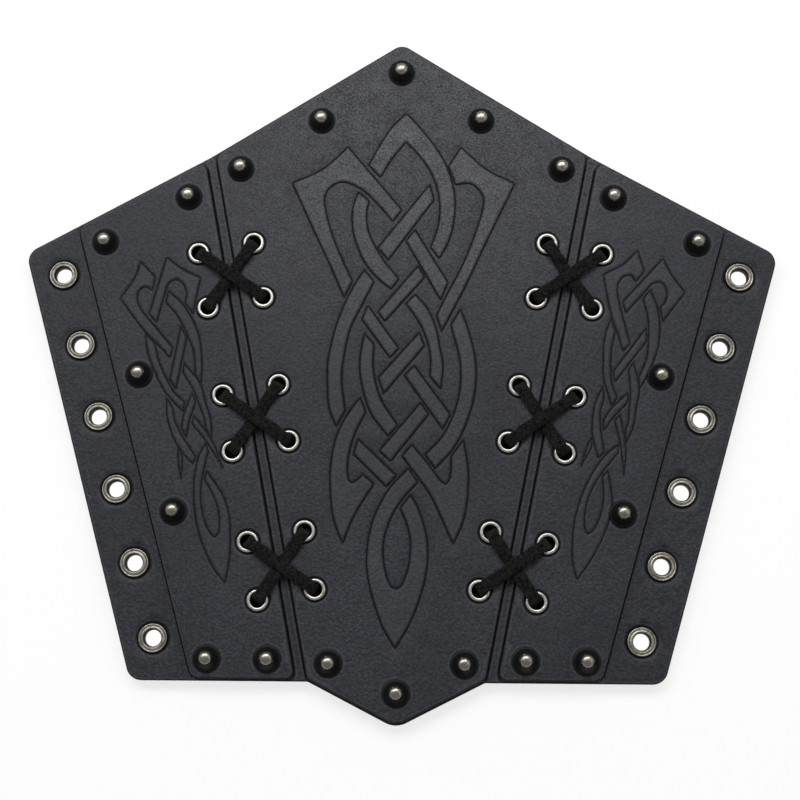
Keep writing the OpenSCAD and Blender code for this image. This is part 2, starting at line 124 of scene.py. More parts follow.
def cut_line(corners, radii, joined=(), step=0.5, joint_step=0.8):
    """A closed outline through the corners, rounded by the radii, with points
    about every step. Sides whose first corner is in joined are butt joints."""
    stops = []
    for i, p in enumerate(corners):
        if not radii[i]:
            stops.append([p])
            continue
        a, b = units(corners[i - 1] - p), units(corners[(i + 1) % len(corners)] - p)
        half = math.acos(a @ b) / 2
        centre = p + units(a + b) * radii[i] / math.sin(half)
        first = p + a * radii[i] / math.tan(half) - centre
        turn = (-1 if across(a, b) > 0 else 1) * (math.pi - 2 * half)
        n = max(4, round(abs(turn) * radii[i] / step))
        stops.append([centre + np.array([
            first[0] * math.cos(turn * k / n) - first[1] * math.sin(turn * k / n),
            first[0] * math.sin(turn * k / n) + first[1] * math.cos(turn * k / n)])
            for k in range(n + 1)])
    points, butts = [], []
    for i, arc in enumerate(stops):
        points += arc
        butts += [False] * (len(arc) - 1)
        p, q = arc[-1], stops[(i + 1) % len(stops)][0]
        n = max(1, round(np.linalg.norm(q - p) / (joint_step if i in joined else step)))
        points += [p + (q - p) * k / n for k in range(1, n)]
        butts += [i in joined] * n
    return np.array(points), np.array(butts)


def hole(centre, r, n=40):
    """A round hole, which runs the other way so that leather is on its right."""
    a = np.arange(n) * 2 * math.pi / n
    return np.array(centre) + r * np.column_stack([np.cos(a), np.sin(a)])


def inward(loop, butts=None):
    """The move at each point that sets the cut edge back by 1, along the joint
    where a joint starts, and none within a joint."""
    ahead = units(np.roll(loop, -1, 0) - loop)
    before = np.roll(ahead, 1, 0)
    n0, n1 = before[:, ::-1] * [1, -1], ahead[:, ::-1] * [1, -1]
    move = (n0 + n1) / (1 + (n0 * n1).sum(1))[:, None]
    if butts is not None:
        j0, j1 = np.roll(butts, 1), butts
        for only, way, normal in ((j1 & ~j0, ahead, n0), (j0 & ~j1, before, n1)):
            move[only] = way[only] / (way[only] * normal[only]).sum(1)[:, None]
        move[j0 & j1] = 0
    return move


def inside(points, loops):
    """Which points lie inside the loops, where a loop in a loop is a hole."""
    found = np.zeros(len(points), bool)
    for loop in loops:
        for (x0, y0), (x1, y1) in zip(loop, np.roll(loop, -1, 0)):
            if y0 != y1:
                spans = (points[:, 1] < y0) != (points[:, 1] < y1)
                x = x0 + (points[:, 1] - y0) * (x1 - x0) / (y1 - y0)
                found ^= spans & (points[:, 0] < x)
    return found


def distance(points, targets):
    """How far each point is from the nearest of the targets."""
    tree = kdtree.KDTree(len(targets))
    for i, t in enumerate(targets):
        tree.insert((t[0], t[1], 0), i)
    tree.balance()
    return np.array([tree.find((p[0], p[1], 0))[2] for p in points])


def side_owners(faces):
    """The triangle that each directed side belongs to."""
    return {(f[k - 1], f[k]): n for n, f in enumerate(faces) for k in range(3)}


def no_slivers(xy, faces, least=1e-3, rounds=40):
    """Where points in a straight row leave a flat triangle, its long side is turned
    together with the triangle behind it."""
    for _ in range(rounds):
        corners = xy[np.array(faces)]
        sides = np.roll(corners, -1, 1) - corners
        long = np.linalg.norm(sides, axis=2)
        flat = set(np.flatnonzero(np.abs(across(sides[:, 0].T, sides[:, 1].T))
                                  < least * long.max(1)))
        if not flat:
            break
        owner = side_owners(faces)
        done = set(flat)
        for n in flat:
            k = int(long[n].argmax())
            a, c, b = (faces[n][(k + i) % 3] for i in range(3))
            m = owner.get((c, a))
            if m is not None and m not in done:
                d = next(i for i in faces[m] if i not in (a, c))
                faces[n], faces[m] = (a, d, b), (d, c, b)
                done.add(m)
    return faces


def fill(loops, points, lines=()):
    """Triangles between the loops, through the points and along the lines.
    Gives the places, the triangles and each loop point's number."""
    places, ties = [], []
    for chain in [*loops, *lines]:
        n = len(places)
        places += list(chain)
        ties += [(n + i, n + (i + 1) % len(chain)) for i in range(len(chain))]
    rim = sum(len(loop) for loop in loops)
    out, _, faces, came_from, _, _ = delaunay_2d_cdt(
        [Vector(p) for p in [*places, *points]], ties, [], 0, 1e-5)
    number = {old: new for new, olds in enumerate(came_from) for old in olds}
    on_rim = {number[i] for i in range(rim)}
    rim_sides = {(number[a], number[b]) for a, b in ties[:rim]}
    owner = side_owners(faces)
    kept, asked = {}, []
    for n, f in enumerate(faces):
        sides = [(f[2], f[0]), (f[0], f[1]), (f[1], f[2])]
        if not on_rim.issuperset(f) or any((b, a) in rim_sides for a, b in sides):
            kept[n] = True
        elif not rim_sides.isdisjoint(sides):
            kept[n] = False
        else:
            asked.append((n, [owner.get((b, a)) for a, b in sides]))
    # Triangles between points of the rim go the way of the triangles beside them
    while asked:
        for n, beside in asked:
            kept.update({n: kept[m] for m in beside if m in kept})
        asked = [(n, beside) for n, beside in asked if n not in kept]
    xy = np.array([tuple(p) for p in out])
    kept = [tuple(f) for n, f in enumerate(faces) if kept[n]]
    return xy, no_slivers(xy, kept), [number[i] for i in range(rim)]


def spread(loops, step, clear=0.55):
    """Points in rows of triangles all over the inside of the loops."""
    low, high = loops[0].min(0), loops[0].max(0)
    rows = np.arange(low[1], high[1], step * math.sqrt(3) / 2)
    grid = np.array([(x + (i % 2) * step / 2, y) for i, y in enumerate(rows)
                     for x in np.arange(low[0], high[0], step)])
    grid = grid[inside(grid, loops)]
    return grid[distance(grid, np.concatenate(loops)) > clear * step]


def smooth_step(x, low, high):
    t = np.clip((x - low) / (high - low), 0, 1)
    return t * t * (3 - 2 * t)


def mesh_of(name, places, edges=(), faces=()):
    """A mesh from places in mm."""
    mesh = bpy.data.meshes.new(name)
    mesh.from_pydata((np.array(places) * MM).tolist(), list(edges), list(faces))
    return mesh


def outward(mesh):
    """Turns a closed mesh's faces outwards, and shades it smooth."""
    shell = bmesh.new()
    shell.from_mesh(mesh)
    bmesh.ops.recalc_face_normals(shell, faces=shell.faces)
    shell.to_mesh(mesh)
    shell.free()
    mesh.shade_smooth()
    return mesh


def piece(name, finish, verts, faces, marks):
    """A closed piece in its finish, from places in mm, with values per point."""
    obj = placed(name, outward(mesh_of(name, verts, faces=faces)))
    for mark, values in marks.items():
        obj.data.attributes.new(mark, "FLOAT", "POINT").data.foreach_set(
            "value", np.asarray(values, np.float32))
    obj.data.materials.append(finish.material)
    return obj


JOINT_ANGLE = math.radians(80)     # a joint's side shows as a sharp corner


def flush(xy):
    return np.zeros(len(xy))


def sheet(name, finish, outline, holes, levels, radii, points, marks, lines=(),
          top=flush, under=flush):
    """A sheet between two levels, with rounded edges of two radii, lower first. top
    and under give how far its two faces rise at a place; marks gives values to
    store, from the places of all its points."""
    (low, high), (low_r, top_r) = levels, radii
    loops = [outline[0], *holes]
    moves = np.concatenate([inward(*outline), *[inward(h) for h in holes]])
    rim = np.concatenate(loops)
    sizes = [len(loop) for loop in loops]

    def rims(d):
        return np.split(rim + d * moves, np.cumsum(sizes)[:-1])

    upper, upper_faces, upper_rim = fill(rims(top_r), points, lines)
    lower, lower_faces, lower_rim = fill(rims(low_r), points)
    verts = [np.column_stack([upper, high + top(upper)]),
             np.column_stack([lower, low + under(lower)])]
    faces = upper_faces + [tuple(int(i) + len(upper) for i in reversed(f)) for f in lower_faces]
    rings = [upper_rim]
    count = len(upper) + len(lower)
    turns = [math.radians(a) for a in (67, 45, 22, 0)]
    for d, z in ([(top_r * (1 - math.cos(a)), high - top_r * (1 - math.sin(a))) for a in turns]
                 + [(low_r * (1 - math.cos(a)), low + low_r * (1 - math.sin(a)))
                    for a in reversed(turns)]):
        verts.append(np.column_stack([rim + d * moves, np.full(len(rim), z)]))
        rings.append(list(range(count, count + len(rim))))
        count += len(rim)
    rings.append([i + len(upper) for i in lower_rim])
    for a, b in zip(rings, rings[1:]):
        first = 0
        for n in sizes:
            for i in range(n):
                j = first + (i + 1) % n
                i += first
                faces.append((a[i], a[j], b[j], b[i]))
            first += n
    verts = np.concatenate(verts)
    obj = piece(name, finish, verts, faces, marks(verts))
    if outline[1].any():
        obj.data.set_sharp_from_angle(angle=JOINT_ANGLE)
    return obj


class Wire:
    """A node's output. Sums on wires add the Math nodes that work them out."""

    def __init__(self, nodes, socket):
        self.nodes, self.socket = nodes, socket

    def sum(self, operation, *terms):
        return self.nodes.add("Math", {"operation": operation}, dict(enumerate(terms)))

    def __add__(self, other):
        return self.sum("ADD", self, other)

    def __radd__(self, other):
        return self.sum("ADD", other, self)

    def __sub__(self, other):
        return self.sum("SUBTRACT", self, other)

    def __rsub__(self, other):
        return self.sum("SUBTRACT", other, self)

    def __mul__(self, other):
        return self.sum("MULTIPLY", self, other)

    def __rmul__(self, other):
        return self.sum("MULTIPLY", other, self)


class Nodes:
    """A node tree, to which one method adds any node."""

    def __init__(self, tree):
        self.tree = tree

    def feed(self, socket, value):
        """Links a wire to a socket, or sets the socket's value."""
        if isinstance(value, Wire):
            self.tree.links.new(value.socket, socket)
        else:
            socket.default_value = value

    def add(self, kind, settings, sockets, out=0):
        """Adds a node, a shader node unless its type says otherwise: its settings
        first, then its sockets' values or links. Gives one of its outputs."""
        node = self.tree.nodes.new(kind if "Node" in kind else "ShaderNode" + kind)
        for key, value in settings.items():
            if key == "stops":
                elements = node.color_ramp.elements
                while len(elements) < len(value):
                    elements.new(1)
                for stop, (place, grey) in zip(elements, value):
                    stop.position = place
                    stop.color = (grey, grey, grey, 1)
            else:
                setattr(node, key, value)
        for key, value in sockets.items():
            self.feed(node.inputs[key], value)
        return Wire(self, node.outputs[out])

    def ramp(self, value, *stops):
        return self.add("ValToRGB", {"stops": stops}, {"Fac": value})


class Finish(Nodes):
    """A material on a Principled shader, with the object's own places in mm."""

    def __init__(self, name, **plain):
        self.name, self.material = name, bpy.data.materials.new(name)
        self.material.use_nodes = True
        super().__init__(self.material.node_tree)
        self.shader = self.tree.nodes["Principled BSDF"]
        for socket, value in plain.items():
            self.set(socket.replace("_", " "), value)

    def set(self, socket, value):
        self.feed(self.shader.inputs[socket], value)

    def places(self, turn=0):
        """The object's own coordinates in mm."""
        return self.add("Mapping", {}, {
            "Vector": self.add("TexCoord", {}, {}, "Object"),
            "Rotation": (0, 0, turn), "Scale": (1 / MM, 1 / MM, 1 / MM)})

    def noise(self, places, size, detail=3, rough=0.5):
        return self.add("TexNoise", {}, {
            "Vector": places, "Scale": 1 / size, "Detail": detail, "Roughness": rough})

    def between(self, share, a, b, way="MIX"):
        """Colour a where share is 0, and b where it is 1."""
        return self.add("Mix", {"data_type": "RGBA", "blend_type": way},
                        {0: share, 6: a, 7: b}, 2)

    def mark(self, name):
        return self.add("Attribute", {"attribute_name": name}, {}, "Fac")

    def bump(self, height, depth, **under):
        """A Bump node: height from 0 to 1 stands for depth, in mm."""
        return self.add("Bump", {}, {"Height": height, "Distance": depth * MM, **under})


def leather(name, seed, shade=1.0):
    """Waxed black leather with a pebbled grain, paler and rougher round the elbow
    point, where the paler speck is partly wear and partly painted sheen. rim is the
    distance in mm from a cut edge or a part's foot, cut the share of a tooled line,
    and band how far inside a band, below zero on the ground beside one."""
    finish = Finish(name, Specular_IOR_Level=0.3)
    at = finish.places()
    # Paler and rougher towards the elbow point: partly wear, partly a painted sheen.
    worn = finish.ramp(finish.add("VectorMath", {"operation": "DISTANCE"},
                                  {0: at, 1: (8, 105, 5)}, 1) * 0.008, (0.2, 1.0), (0.92, 0.0))
    places = finish.add("VectorMath", {"operation": "ADD"}, {0: at, 1: (seed, seed, 0)})
    cloud = finish.noise(places, 34, 5, 0.62)
    patch = finish.noise(places, 5.5, 4, 0.6)
    fine = finish.noise(places, 0.7, 3, 0.6)
    dust = finish.noise(places, 0.5, 2, 0.7)
    warp = finish.add("VectorMath", {"operation": "ADD"}, {
        0: places, 1: finish.add("TexNoise", {}, {
            "Vector": places, "Scale": 0.5, "Detail": 2}, 1)})
    pebble = finish.add("TexVoronoi", {"feature": "SMOOTH_F1"}, {
        "Vector": warp, "Scale": 0.95, "Smoothness": 0.35})
    # cut gives painted shade in the tooled grooves, on top of their own shadow.
    tooled, band, rim = finish.mark("cut"), finish.mark("band"), finish.mark("rim")
    tone = finish.ramp(cloud * 0.6 + patch * 0.4, (0.34, 0.0), (0.66, 1.0))
    speck = finish.ramp(pebble * 0.6 + fine * 0.6, (0.3, 1.0), (0.75, 0.35))
    # Paler speck round the elbow: partly worn grain, partly painted sheen. There is less of it on
    # the pressed ground beside the bands, as painted shade.
    rubbed_speck_and_sheen = worn * (band * 0.3 + 0.9) * finish.ramp(
        dust * 0.8 + patch * 0.2, (0.43, 0.0), (0.58, 0.42))
    # Painted highlight: a paler line about 0.5 to 1 mm in from a cut edge or a part's foot, as if
    # the bevel caught the light.
    lip = finish.ramp(rim, (0.5, 0.0), (0.75, 0.22), (1.0, 0.0))
    # Near black at the cut edges, which are burnished dark, and painted shadow round the feet of
    # the plates, studs and eyelets.
    edge = finish.ramp(rim, (0.1, 1.0), (0.55, 0.0))
    colour = finish.between(tone, (*shade * np.array([0.0145, 0.0155, 0.0225]), 1),
                            (*shade * np.array([0.030, 0.032, 0.043]), 1))
    colour = finish.between(1.0, colour, speck, "MULTIPLY")
    # Paler bands with a painted highlight beside their lines; the paler speck, partly painted
    # sheen; a painted highlight by the edges; dark edges and painted shadow round feet; painted
    # shade in the grooves.
    for share, coat in ((band * (worn * 0.06 + 0.09), (0.098, 0.100, 0.110, 1)),
                        (rubbed_speck_and_sheen, (0.180, 0.183, 0.195, 1)),
                        (lip, (0.095, 0.097, 0.107, 1)),
                        (edge * 0.95, (0.003, 0.003, 0.0034, 1)),
                        (tooled * 0.97, (0.0012, 0.0012, 0.0014, 1))):
        colour = finish.between(share, colour, coat)
    finish.set("Base Color", colour)
    finish.set("Roughness", 0.46 + patch * 0.16 + tooled * 0.35 + edge * 0.2)
    rough_spot = finish.ramp(cloud, (0.48, 0.0), (0.62, 1.0))
    grain = finish.bump((pebble * -0.8 + fine * 0.8 + dust * 0.7)
                        * (worn * 1.1 + rough_spot * 0.5 + 0.7), 0.15)
    finish.set("Normal", finish.bump(patch, 0.22, Normal=grain))
    return finish


CROSS_W, CROSS_L, FIRST_CROSS, CROSS_PITCH = 19.2, 19.7, 38.5, 50.6
cross_middles = [FIRST_CROSS + i * CROSS_PITCH for i in range(3)]
EYELET_BORE_R, EYELET_WALL, HOLE_GAP = 2.4, 0.35, 0.15
GROMMET_BORE_R, GROMMET_EDGE_D, GROMMET_END_D, GROMMETS = 2.75, 10.8, 11.2, 6
SCREW_R = 1.5
# The studs' distances from the seams, the points, the margins and the cut edges
STUD_SEAM_D, STUD_POINT_DS, STUD_MARGIN_DS = 7.8, (11.6, 11.1), (7.9, 6.6)
STUD_EDGE_D, STUD_CORNER_D, STUD_V_D, STUD_WRIST_D, STUD_PITCH = 9.8, 10.2, 8.3, 7.1, 48.5


def in_line(line, x, y):
    """A place x over a line, to its right, and y along it."""
    return line[0] + x * right_of(line) + y * line[1]


def eyelet_places(side):
    """Right seam: side -1 is the centre plate's column, 1 the side plate's."""
    return [in_line(seam_line, side * CROSS_W / 2, y + end * CROSS_L / 2)
            for y in cross_middles for end in (-1, 1)]


side_length = np.linalg.norm(elbow_corner - wrist_corner)
grommet_pitch = (side_length - 2 * GROMMET_END_D) / (GROMMETS - 1)
grommet_places = [in_line(side_line, GROMMET_EDGE_D, GROMMET_END_D + i * grommet_pitch)
                  for i in range(GROMMETS)]

seam_row = inset(seam_line, -STRIP_W / 2 - STUD_SEAM_D)
elbow_stud = np.array([0, LENGTH / 2 - STUD_POINT_DS[0]])
wrist_stud = np.array([0, STUD_POINT_DS[1] - LENGTH / 2])
corner_stud = meet(inset(elbow_line, STUD_EDGE_D), seam_row)
centre_studs = [(elbow_stud + corner_stud) / 2, corner_stud,
                meet(inset(v_line, STUD_V_D), seam_row)]
wing_row = inset(seam_line, STRIP_W / 2 + STUD_SEAM_D)
upper_row, lower_row = (inset(side_line, MARGIN_W + d) for d in STUD_MARGIN_DS)
wing_corner = meet(inset(shoulder_line, STUD_CORNER_D), upper_row)
wing_studs = [meet(inset(shoulder_line, STUD_EDGE_D), wing_row),
              *[wing_corner + i * STUD_PITCH * side_line[1] for i in range(3)],
              *[meet(inset(wrist_line, STUD_WRIST_D), row) for row in (lower_row, wing_row)]]


def flipped(points):
    """The same places on the left."""
    return [np.array([-p[0], p[1]]) for p in points]


def left_hole(loop):
    return loop[::-1] * [-1, 1]


def left_of(outline):
    """The left-hand copy of an outline, still clockwise, with its joints."""
    return left_hole(outline[0]), np.roll(outline[1][::-1], -1)


def whole(half):
    """Corners from the elbow point to the wrist point, closed on the left."""
    return [*half, *flipped(half[-2:0:-1])]


def lines_in(d):
    """The straight sides of the sheet, moved d into the leather."""
    return [inset(line, d) for line in
            (elbow_line, shoulder_line, side_line, wrist_line, v_line)]


def layer_parts(d, seam_dots, margin_dots):
    """The parts that a layer set in by d is modelled in: label, hand, outline and
    close rows of points. They meet in butt joints under the plates."""
    e, s, o, w, v = lines_in(d)
    yield "middle", "centre", cut_line(
        whole([meet(e, middle_line), meet(e, split_in), meet(v, split_in), meet(v, middle_line)]),
        [ELBOW_POINT_R, 0, 0, WRIST_POINT_R, 0, 0], joined=(1, 4)), []
    for label, part, dots in (
            ("seam", cut_line([meet(e, split_in), meet(e, seam_line), meet(s, split_out),
                               meet(w, split_out), meet(w, v), meet(v, split_in)],
                              [0] * 6, joined=(2, 5)), seam_dots),
            ("outer", cut_line([meet(s, split_out), meet(s, o), meet(w, o), meet(w, split_out)],
                               [0, CORNER_R, CORNER_R, 0], joined=(3,)), margin_dots)):
        yield label, "right", part, dots
        yield label, "left", left_of(part), flipped(dots)


def fold_points(line, rows, start, end, step=1.6):
    """Close rows of points along a fold, at the given distances to its right."""
    return [in_line(line, x, y) for x in rows for y in np.arange(start, end, step)]


def held(points, outline, holes, clear=0.8):
    """Those points that lie well inside the leather, each of them once."""
    points = np.unique(np.array(points).round(3) + 0.0, axis=0)
    loops = [outline, *holes]
    points = points[inside(points, loops)]
    return points[distance(points, np.concatenate(loops)) > clear]


def screw_holes(points):
    return [hole(p, SCREW_R + HOLE_GAP, 24) for p in points]


eyelet_hole_r = EYELET_BORE_R + EYELET_WALL + HOLE_GAP
grommet_hole_r = GROMMET_BORE_R + EYELET_WALL + HOLE_GAP
right_holes = ([hole(p, eyelet_hole_r) for side in (-1, 1) for p in eyelet_places(side)]
               + [hole(p, grommet_hole_r) for p in grommet_places]
               + screw_holes([*centre_studs, *wing_studs]))
base_holes = [*screw_holes([elbow_stud, wrist_stud]), *right_holes,
              *[left_hole(h) for h in right_holes]]


def own_holes(outline, holes):
    """The holes that are punched in this part of a layer."""
    own = inside(np.array([h.mean(0) for h in holes]), [outline[0]])
    return [h for h, is_own in zip(holes, own) if is_own]


def finely(loops, step=0.12):
    """Close points all along the loops."""
    out = []
    for loop in loops:
        for p, q in zip(loop, np.roll(loop, -1, 0)):
            n = max(1, round(np.linalg.norm(q - p) / step))
            out += [p + (q - p) * k / n for k in range(n)]
    return np.array(out)


def over_line(xy, line):
    """How far places are to the right of a line."""
    return (xy - line[0]) @ right_of(line)


def on_right(xy):
    """Places with those on the left brought over to the right."""
    return np.column_stack([np.abs(xy[:, 0]), xy[:, 1]])


# The painted shadow round a part's foot reaches further than the dark of a cut edge, and all of it
# is narrower beside the margins.
SEAT_SHARE, MARGIN_SHARE, MARGIN_NEAR = 0.72, 1.9, 1.2


def rim_marks(verts, edges, seats):
    """How far each point is from the leather's cut edges, which are burnished dark, or
    from the foot of a part that sits on it, for painted shadow. Less dark at the margins."""
    xy = verts[:, :2]
    by_margin = np.abs(over_line(on_right(xy), inset(side_line, MARGIN_W))) < MARGIN_NEAR
    return np.minimum(distance(xy, edges), distance(xy, seats) * SEAT_SHARE) * np.where(
        by_margin, MARGIN_SHARE, 1)


def nearest(xy, spots):
    """How far places are from the nearest of a few spots."""
    return np.min([np.hypot(*(xy - p).T) for p in spots], axis=0)


def dent(xy, spots, r, gap=0.1, deep_to=0.06, gone_at=0.3):
    """The share of the narrow dent that a round foot of radius r presses."""
    return 1 - smooth_step(np.abs(nearest(xy, spots) - r - gap), deep_to, gone_at)


# The outlines of the plates that lie on the sheet
INSET, TIP_R, SLOT_R = 0.7, 4, 2.6
e, s, _, w, v = lines_in(INSET)
strip_in, strip_out = inset(seam_line, -STRIP_W / 2), inset(seam_line, STRIP_W / 2)
margin_line = inset(side_line, MARGIN_W)
centre_cut = cut_line(
    whole([meet(e, middle_line), meet(e, strip_in), meet(v, strip_in), meet(v, middle_line)]),
    [ELBOW_POINT_R, TIP_R, SLOT_R, WRIST_POINT_R, SLOT_R, TIP_R])
wing_cut = cut_line([meet(s, strip_out), meet(s, margin_line), meet(w, margin_line),
                     meet(w, strip_out)], [SLOT_R, TIP_R, TIP_R, SLOT_R])


def folds(obj, hand, at, out, reach=1.5):
    """Bakes a piece's place into its mesh. The ends of a hinge through at, reach to each side of
    it, are worked out but not used.
    """
    flip = -1 if hand == "left" else 1
    start, end = ((flip * p[0] * MM, p[1] * MM, LINING_T * MM)
                  for p in (at - reach * out, at + reach * out))
    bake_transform(obj)
    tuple(start)
    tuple(end)


def layer_part(title, node, label, hand, *args, **more):
    """One part of a layer. The middle part rides on the centre, and each part
    stands for the layer's solids on its bodies."""
    obj = sheet(f"{title}_{label}" if hand == "centre" else f"{title}_{hand}_{label}",
                *args, **more)
    if label == "middle":
        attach(obj, "centre")
        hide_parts(f"{node}_centre")
    elif label == "seam":
        folds(obj, hand, seam_line[0], right_of(seam_line))
        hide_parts(f"{node}_centre", f"{node}_{hand}")
    else:
        folds(obj, hand, meet(wrist_line, margin_fold), -right_of(side_line))
        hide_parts(f"{node}_{hand}", f"{node}_{hand}_margin")
    return obj


EYELET_FLANGE_R, GROMMET_FLANGE_R, STUD_R, STUD_SEAT = 3.8, 5.0, 4.5, 0.25
FOOT_RINGS, GAP_DEPTH, DENT_DEPTH = (-0.25, 0.0, 0.12, 0.26, 0.45), 0.9, 0.45
BASE_STEP, BASE_CLEAR, BASE_RADII = 2.6, 1.2, (0.3, 0.45)
plate_rims = finely([centre_cut[0], wing_cut[0], left_hole(wing_cut[0])])
# Round the plates' rims and the large eyelets' feet, the base sheet gets painted shadow.
base_seats = np.concatenate([plate_rims, finely([hole(p, GROMMET_FLANGE_R) for p in (
    *grommet_places, *flipped(grommet_places))])])
seam_rows = [k * x for k in (-1, 1) for x in (0.25, 0.7, 1.15, 1.45, 1.6, 1.75, 2.0)]
margin_rows = [-1.5, -1.1, -0.8, -0.5, -0.2, -0.05, 0.1, 0.3, 0.6, 0.9, 1.2, 1.5]
foot_points = [q for d in FOOT_RINGS for p in grommet_places
               for q in hole(p, GROMMET_FLANGE_R + d, 48)]


def base_over(xy):
    """How far the sheet gives way beside the plates and round the large eyelets."""
    gap = GAP_DEPTH * (1 - smooth_step(distance(xy, plate_rims), 0.15, 0.42))
    feet = DENT_DEPTH * dent(on_right(xy), grommet_places, GROMMET_FLANGE_R)
    return -np.maximum(gap, feet) * smooth_step(distance(xy, base_edges), 0.45, 1.0)


base_leather = leather("base_leather", 0)
for label, hand, cut, dots in layer_parts(
        0, fold_points(seam_line, seam_rows, -10, 210),
        [*fold_points(margin_fold, margin_rows, -10, 160), *foot_points]):
    own = own_holes(cut, base_holes)
    grid = spread([cut[0], *own], BASE_STEP)
    if dots:
        dots = held(dots, cut[0], own)
        grid = np.concatenate([dots, grid[distance(grid, dots) > BASE_CLEAR]])
    base_edges = np.concatenate([cut[0][~cut[1]], *own])
    layer_part("base_sheet", "base", label, hand, base_leather, cut, own,
               (LINING_T, PLATE_Z), BASE_RADII, grid,
               lambda verts: {"rim": rim_marks(verts, base_edges, base_seats)},
               top=flush if label == "middle" else base_over)

# Plates. Three thicker pieces of the same leather lie on the base sheet. Their
# edges are bevelled and rubbed dark, and a knot of crossing bands is pressed and
# cut into each: a tall one on the centre plate, and one smaller die on both sides.

# A knot is a list of bands. A band's outline is a list of smooth runs that meet in
# corners, and a run is its points' x and y in turn.
KNOT = [
    [[-37.6, 66.6, -27, 71.8], [-18.4, 79.8], [0.5, 57], [-2.6, 52.9, -8.6, 59.9, -12.8, 63.9,
     -16.4, 66, -19.3, 67, -21.7, 66.8, -24.6, 64.9, -26.2, 61.8, -25.6, 56.1, -23.2, 47.5, -19.2,
     37.9], [-16.2, 31.6], [-19, 25.7, -23.6, 36.3, -30.4, 50.9]],
    [[-14.7, 63.5, -16.5, 57.4, -16.4, 50.4, -14.4, 43.1, -11.6, 37.4, -7.8, 32.8], [-3, 28.7],
     [-0.3, 32.3, -5.6, 39, -9, 44.7, -11.2, 50.4, -11.6, 56.1], [-10.8, 60.1]],
    [[-11.1, 73.2], [-7.1, 68.8, -2.8, 75.9], [1.7, 81.7, 6.1, 77, 10.1, 71.2, 12.6, 64.8, 13.6,
     57.3, 12.9, 51], [10.5, 43.6], [13.5, 39.7, 16.2, 44.8, 18.1, 51, 18.9, 59.1, 18.3, 64.8, 15.6,
     73.4, 11.1, 81, 6.1, 87.4], [1.8, 92.2, -3.4, 86.8, -7.7, 79.9]],
    [[16.5, 72.7], [20.8, 79.7, 29.8, 71.6], [39.5, 66.6, 29.8, 46.1, 22.3, 29.6], [14.4, 14],
     [12.6, 19.4, 14.8, 24.3, 17, 28.7, 19.4, 33.2, 21.7, 38, 24, 43.7, 25.9, 49, 27.8, 55.3, 28.7,
     60.8, 27.1, 64.2, 24.4, 66.5], [18.9, 66.2]],
    [[-7.7, 43.3], [10.1, 66.3], [11.6, 60.7], [-4, 39.1]],
    [[-7.4, 20.7], [6.2, 37], [8.5, 33], [-4.9, 17.5]],
    [[-7, -2.2], [6.8, 13.6], [8.6, 8.9], [-5.1, -7.7]],
    [[-6.4, -27.3], [7.4, -10.7], [10.2, -14.6], [-2.5, -30.8]],
    [[5.1, 49.9], [16.5, 31.2], [14, 25], [2, 45.9]],
    [[-10.8, 23], [-0.1, 8], [-3.1, 4.7], [-12.8, 18.1]],
    [[5.2, 2], [17.5, -14.8], [14.9, -19.8], [1.8, -1.3]],
    [[-13.5, -23.2], [-0.5, -35.7], [-3.9, -39.4], [-15, -28.4]],
    [[-12.2, 35.5, -16.3, 28.9, -20, 20.4, -22.4, 12.7, -24.2, 3, -24.2, -3.6, -23.5, -12.4],
     [-20.9, -19.2], [-18, -13.7, -19.3, -3.6, -19, 3, -16.7, 14.8, -13, 22.7], [-8.8, 31.4]],
    [[-11.9, 13.1, -13.2, 5.3, -13.2, -0.4, -11.7, -7.9, -9.1, -14.9], [-3.4, -22.3], [-0.2, -18.6,
     -5.7, -10.1, -7.9, -3.5, -8.8, 3.1], [-8.5, 9.3]],
    [[5.3, 27, 9.3, 22.3, 12.5, 15, 13.9, 7.8, 14.9, 2.8], [14.2, -6.1], [10.5, -1.7, 10.6, 5.4,
     8.7, 12.9, 6, 18.3], [2.2, 23.6]],
    [[20.8, 21.8, 23.3, 15, 26, 3.2, 25.6, -7.7, 22.6, -18.2, 18.4, -26.5], [12.4, -33.2], [9,
     -28.5, 14.5, -22.6, 18.3, -15.2, 20.7, -5.6, 20.7, 3.2, 19.6, 8.4], [17.5, 16.1]],
    [[-13, -9, -18.1, -16.3, -21.4, -24.5, -22.7, -34, -22.6, -40.4, -21.3, -50.3, -19.6, -55.1],
     [-18.1, -58.5, -16, -52.7, -13.5, -47.4], [-8, -38.5], [-11.8, -35.2, -13.5, -37, -15.2, -38,
     -16.2, -37.5, -16.9, -33.9, -16.6, -28.9, -14.6, -21.5], [-11, -14]],
    [[1.3, -29], [4.6, -25.1, 9.9, -31.3, 14.2, -37.1, 15.9, -38.3, 17.1, -36.8, 17.7, -33.7],
     [17.7, -28.9], [21.9, -23.4, 23.5, -33.8, 23.1, -44.4, 21.8, -50.8], [18.6, -58.5, 16.4, -53.8,
     14.2, -48.8, 10.8, -42, 7.2, -36.9]],
    [[3.5, -33.1, -2.8, -39.9, -7, -47.6, -8.8, -52.7, -10.1, -61.5, -9.8, -68.7, -7.7, -77.4, -4.4,
     -86.2], [-0.4, -92.9, 4.4, -84.5, 7.9, -75.3, 9.8, -67, 10.1, -59.8, 8.9, -52.5, 6.4, -45.7],
     [4.2, -42], [0.8, -46.6, 2.9, -51.3, 4.3, -57.4, 4, -64.6, 2.7, -69.5, 1.3, -72.4, -0.2, -73.3,
     -1.8, -72.5, -3.3, -69.5, -4.4, -64.6, -4.7, -59.9, -4, -55, -1.6, -48.6, 2.4, -42.5], [6.7,
     -37.8]],
]
